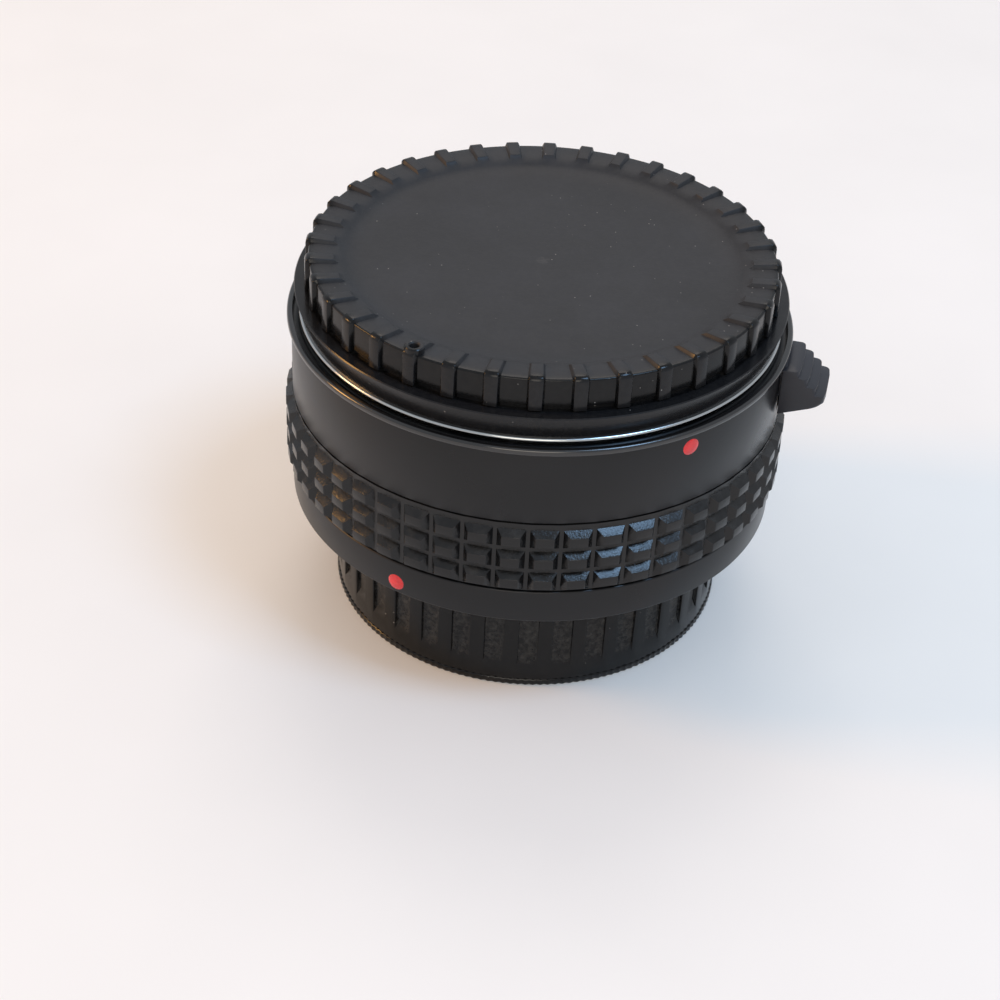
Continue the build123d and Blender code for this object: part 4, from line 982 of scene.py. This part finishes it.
class CONVERTER_OT_release_lever(Operator):
    """Thumb pad with curved steps, its neck and its slide block"""

    bl_idname = "converter.release_lever"
    bl_label = "Release lever"

    def execute(self, context):
        top = high_z("release_lever")
        width = 7.6 * MM
        inner = BARREL_R + 0.3 * MM
        first, out, down = BARREL_R + 2.4 * MM, 1.165 * MM, 1.06 * MM
        steps = 4
        low = top - 6.7 * MM
        outer = first + (steps - 1) * out
        chamfer = 0.6 * MM
        rise = 1.9 * MM
        points = [(inner, low), (outer - chamfer, low + rise), (outer, low + rise + chamfer),
                  (outer, top - (steps - 1) * down)]
        for step in range(steps - 2, -1, -1):
            ridge = first + step * out
            height = top - step * down
            points += [(ridge, height - down + 0.12 * MM), (ridge, height)]
        points.append((inner, top))
        arc, corner = 18.0, 1.3 * MM
        pad = turned(points, 3, arc)
        middle = sum((v.co for v in pad.data.vertices), Vector()) / len(pad.data.vertices)
        turn_to(pad, -azimuth_of(middle))
        activate(pad)
        bpy.ops.object.mode_set(mode="EDIT")
        for side in (1, -1):
            bpy.ops.mesh.select_all(action="SELECT")
            bpy.ops.mesh.bisect(plane_co=(side * width / 2, 0, 0), plane_no=(side, 0, 0), use_fill=True,
                                clear_outer=True, threshold=0.001 * MM)
        weld()
        if pick(lambda at, n: abs(abs(at.x) - width / 2) < NEAR and abs(n.z) > 0.5
                and radius_of(at) > inner + MM, "EDGE") < 2 * steps:
            raise RuntimeError("the corners of the thumb pad are missing")
        bpy.ops.mesh.bevel(offset=corner, segments=5, affect="EDGES", clamp_overlap=True)
        bpy.ops.object.mode_set(mode="OBJECT")
        round_edges(pad, 0.13 * MM, 40, 2)
        neck_w, neck_tall, slide_tall = 6.0 * MM, 4.2 * MM, 6.5 * MM
        neck = box_at(neck_w, PIN_CIRCLE_R, inner + 0.3 * MM, top - neck_tall, top)
        slide = box_at(neck_w, PIN_CIRCLE_R - 1.8 * MM, PIN_CIRCLE_R + 1.15 * MM, UNDER_Z - slide_tall,
                       UNDER_Z)
        for piece in (neck, slide):
            round_edges(piece, 0.12 * MM)
        lever = join(pad, neck, slide)
        turn_to(lever, LEVER_AZ)
        dress(lever, "stepped_release_lever", "release", "satin_black", "release_lever",
              shown_as="lever_lit_black", smooth=32)
        return {"FINISHED"}


class CONVERTER_OT_throat(Operator):
    """Turned pieces that show in the throat: tube, lens cell, trim ring, front and rear glass"""

    bl_idname = "converter.throat"
    bl_label = "Throat and glass"

    def execute(self, context):
        tube_r = reach("throat_tube")
        bore = tube_r - 0.9 * MM
        tube = turned([(bore, DECK_Z), (tube_r, DECK_Z), (tube_r, UNDER_Z), (bore, UNDER_Z)])
        dress(tube, "matte_throat_tube", "converter", "black_alloy", "throat_tube")
        trim_r, trim_low, trim_high = reach("trim_ring"), low_z("trim_ring"), high_z("trim_ring")
        glass_r = reach("front_element")
        clear = glass_r - GLASS_LAND
        trim = turned([(clear + 0.1 * MM, trim_low), (trim_r, trim_low), (trim_r, trim_high - 0.3 * MM),
                       (trim_r - 0.3 * MM, trim_high), (glass_r, trim_high)])
        round_edges(trim, FINE_EDGE)
        dress(trim, "matte_trim_ring", "converter", "black_alloy", "trim_ring")
        self.glass("front_element", "front_glass", (-0.4, 1.4))
        self.glass("rear_element", "rear_glass", (-0.5, 0.9))
        return {"FINISHED"}

    @staticmethod
    def glass(node, name, bulges):
        """Polished element from its land and its two bulges, in millimetres."""
        radius = reach(node)
        clear = radius - GLASS_LAND
        low, high = low_z(node) - bulges[0] * MM, high_z(node) - bulges[1] * MM
        arcs = []
        steps = 12
        for level, bulge in ((low, bulges[0] * MM), (high, bulges[1] * MM)):
            arcs.append([(clear * i / steps, level + bulge * (1 - (i / steps) ** 2))
                         for i in range(steps + 1)])
        points = arcs[0] + [(radius, low), (radius, high)] + arcs[1][::-1]
        piece = turned(points, 120)
        dress(piece, name, "converter", "coated_glass", node, smooth=25)


class CONVERTER_OT_inner_finishes(Operator):
    """Materials of the CAD pieces that stay as they are"""

    bl_idname = "converter.inner_finishes"
    bl_label = "Inner finishes"

    def execute(self, context):
        for row in frame["record"]["subparts"]:
            node = frame["nodes"][row["node"]]
            node.data.materials.clear()
            node.data.materials.append(finish_named(row["material_slot"]))
        return {"FINISHED"}


TABLE_W = 4.0
TABLE_GAP = 0.02 * MM
ROOM_COLOUR = "#f0f5fc"
ROOM_STRENGTH = 0.68
# Name, place and width in metres, power in watts, colour
LIGHTS = (
    ("warm_lamp", (-1.3, 0.04, 0.62), 0.34, 8.4, "#ffbb66"),
    ("cool_window", (0.48, -0.3, 1.02), 0.36, 5.2, "#a6d2ff"),
    ("front_fill", (-0.05, -1.1, 0.6), 0.6, 3.2, "#fff2e0"),
    ("back_light", (0.0, 0.8, 1.1), 0.6, 2.8, "#fff4ea"),
)


class CONVERTER_OT_stage(Operator):
    """Table, soft lights and the camera"""

    bl_idname = "converter.stage"
    bl_label = "Stage"

    def execute(self, context):
        deselect()
        bpy.ops.mesh.primitive_plane_add(size=TABLE_W, location=(0, 0, -TABLE_GAP))
        floor = bpy.context.object
        bpy.ops.object.transform_apply(location=True)
        floor.name = "table"
        floor.data.materials.append(finish_named("table"))
        for lamp in LIGHTS:
            self.light(*lamp)
        world = bpy.data.worlds.new("soft_room")
        context.scene.world = world
        world.use_nodes = True
        sky = world.node_tree.nodes["Background"]
        sky.inputs["Color"].default_value = (*linear(ROOM_COLOUR), 1)
        sky.inputs["Strength"].default_value = ROOM_STRENGTH
        self.camera(context)
        context.scene.view_settings.view_transform = "Standard"
        return {"FINISHED"}

    @staticmethod
    def light(name, place, width, power, code):
        deselect()
        bpy.ops.object.light_add(type="AREA", location=place)
        lamp = bpy.context.object
        lamp.name = name
        lamp.data.shape = "SQUARE"
        lamp.data.size = width
        lamp.data.energy = power
        lamp.data.color = linear(code)
        lamp.rotation_euler = (-Vector(place)).to_track_quat("-Z", "Y").to_euler()

    @staticmethod
    def camera(context):
        """The photograph's viewpoint: pitch and roll in degrees, distance and offsets in metres."""
        pitch, roll = math.radians(36.49), math.radians(2.83)
        distance, across, up = 286.89 * MM, 4.04 * MM, -8.46 * MM
        bpy.ops.object.camera_add()
        camera = context.object
        camera.name = "photograph_view"
        camera.data.sensor_width = 36
        camera.data.lens = 72
        camera.data.clip_start = 0.01
        turn = Matrix.Rotation(math.radians(90) - pitch, 4, "X")
        place = turn @ Vector((-across, -up, distance))
        camera.matrix_world = Matrix.Translation(place) @ turn @ Matrix.Rotation(roll, 4, "Z")
        context.scene.camera = camera


OPERATORS = (
    CONVERTER_OT_inner_finishes, CONVERTER_OT_front_cap, CONVERTER_OT_rear_cap, CONVERTER_OT_barrel,
    CONVERTER_OT_grip, CONVERTER_OT_rear_ring, CONVERTER_OT_mounts, CONVERTER_OT_release_lever,
    CONVERTER_OT_throat, CONVERTER_OT_stage,
)


class CONVERTER_PT_panel(Panel):
    """Lists the pieces and their sizes"""

    bl_idname = "CONVERTER_PT_panel"
    bl_label = "Teleconverter"
    bl_space_type = "VIEW_3D"
    bl_region_type = "UI"
    bl_category = "Converter"

    def draw(self, context):
        for group in (context.scene.converter_sizes, context.scene.converter_colours):
            box = self.layout.box()
            for name in group.__annotations__:
                box.prop(group, name)
        for operator in OPERATORS:
            self.layout.operator(operator.bl_idname)


CLASSES = (ConverterSizes, ConverterColours, *OPERATORS, CONVERTER_PT_panel)


def register():
    for cls in CLASSES:
        bpy.utils.register_class(cls)
    bpy.types.Scene.converter_sizes = PointerProperty(type=ConverterSizes)
    bpy.types.Scene.converter_colours = PointerProperty(type=ConverterColours)


def unregister():
    del bpy.types.Scene.converter_colours
    del bpy.types.Scene.converter_sizes
    for cls in reversed(CLASSES):
        bpy.utils.unregister_class(cls)


def main():
    """Models every piece in order."""
    register()
    for operator in OPERATORS:
        family, name = operator.bl_idname.split(".")
        getattr(getattr(bpy.ops, family), name)()


if __name__ == "__main__":
    main()
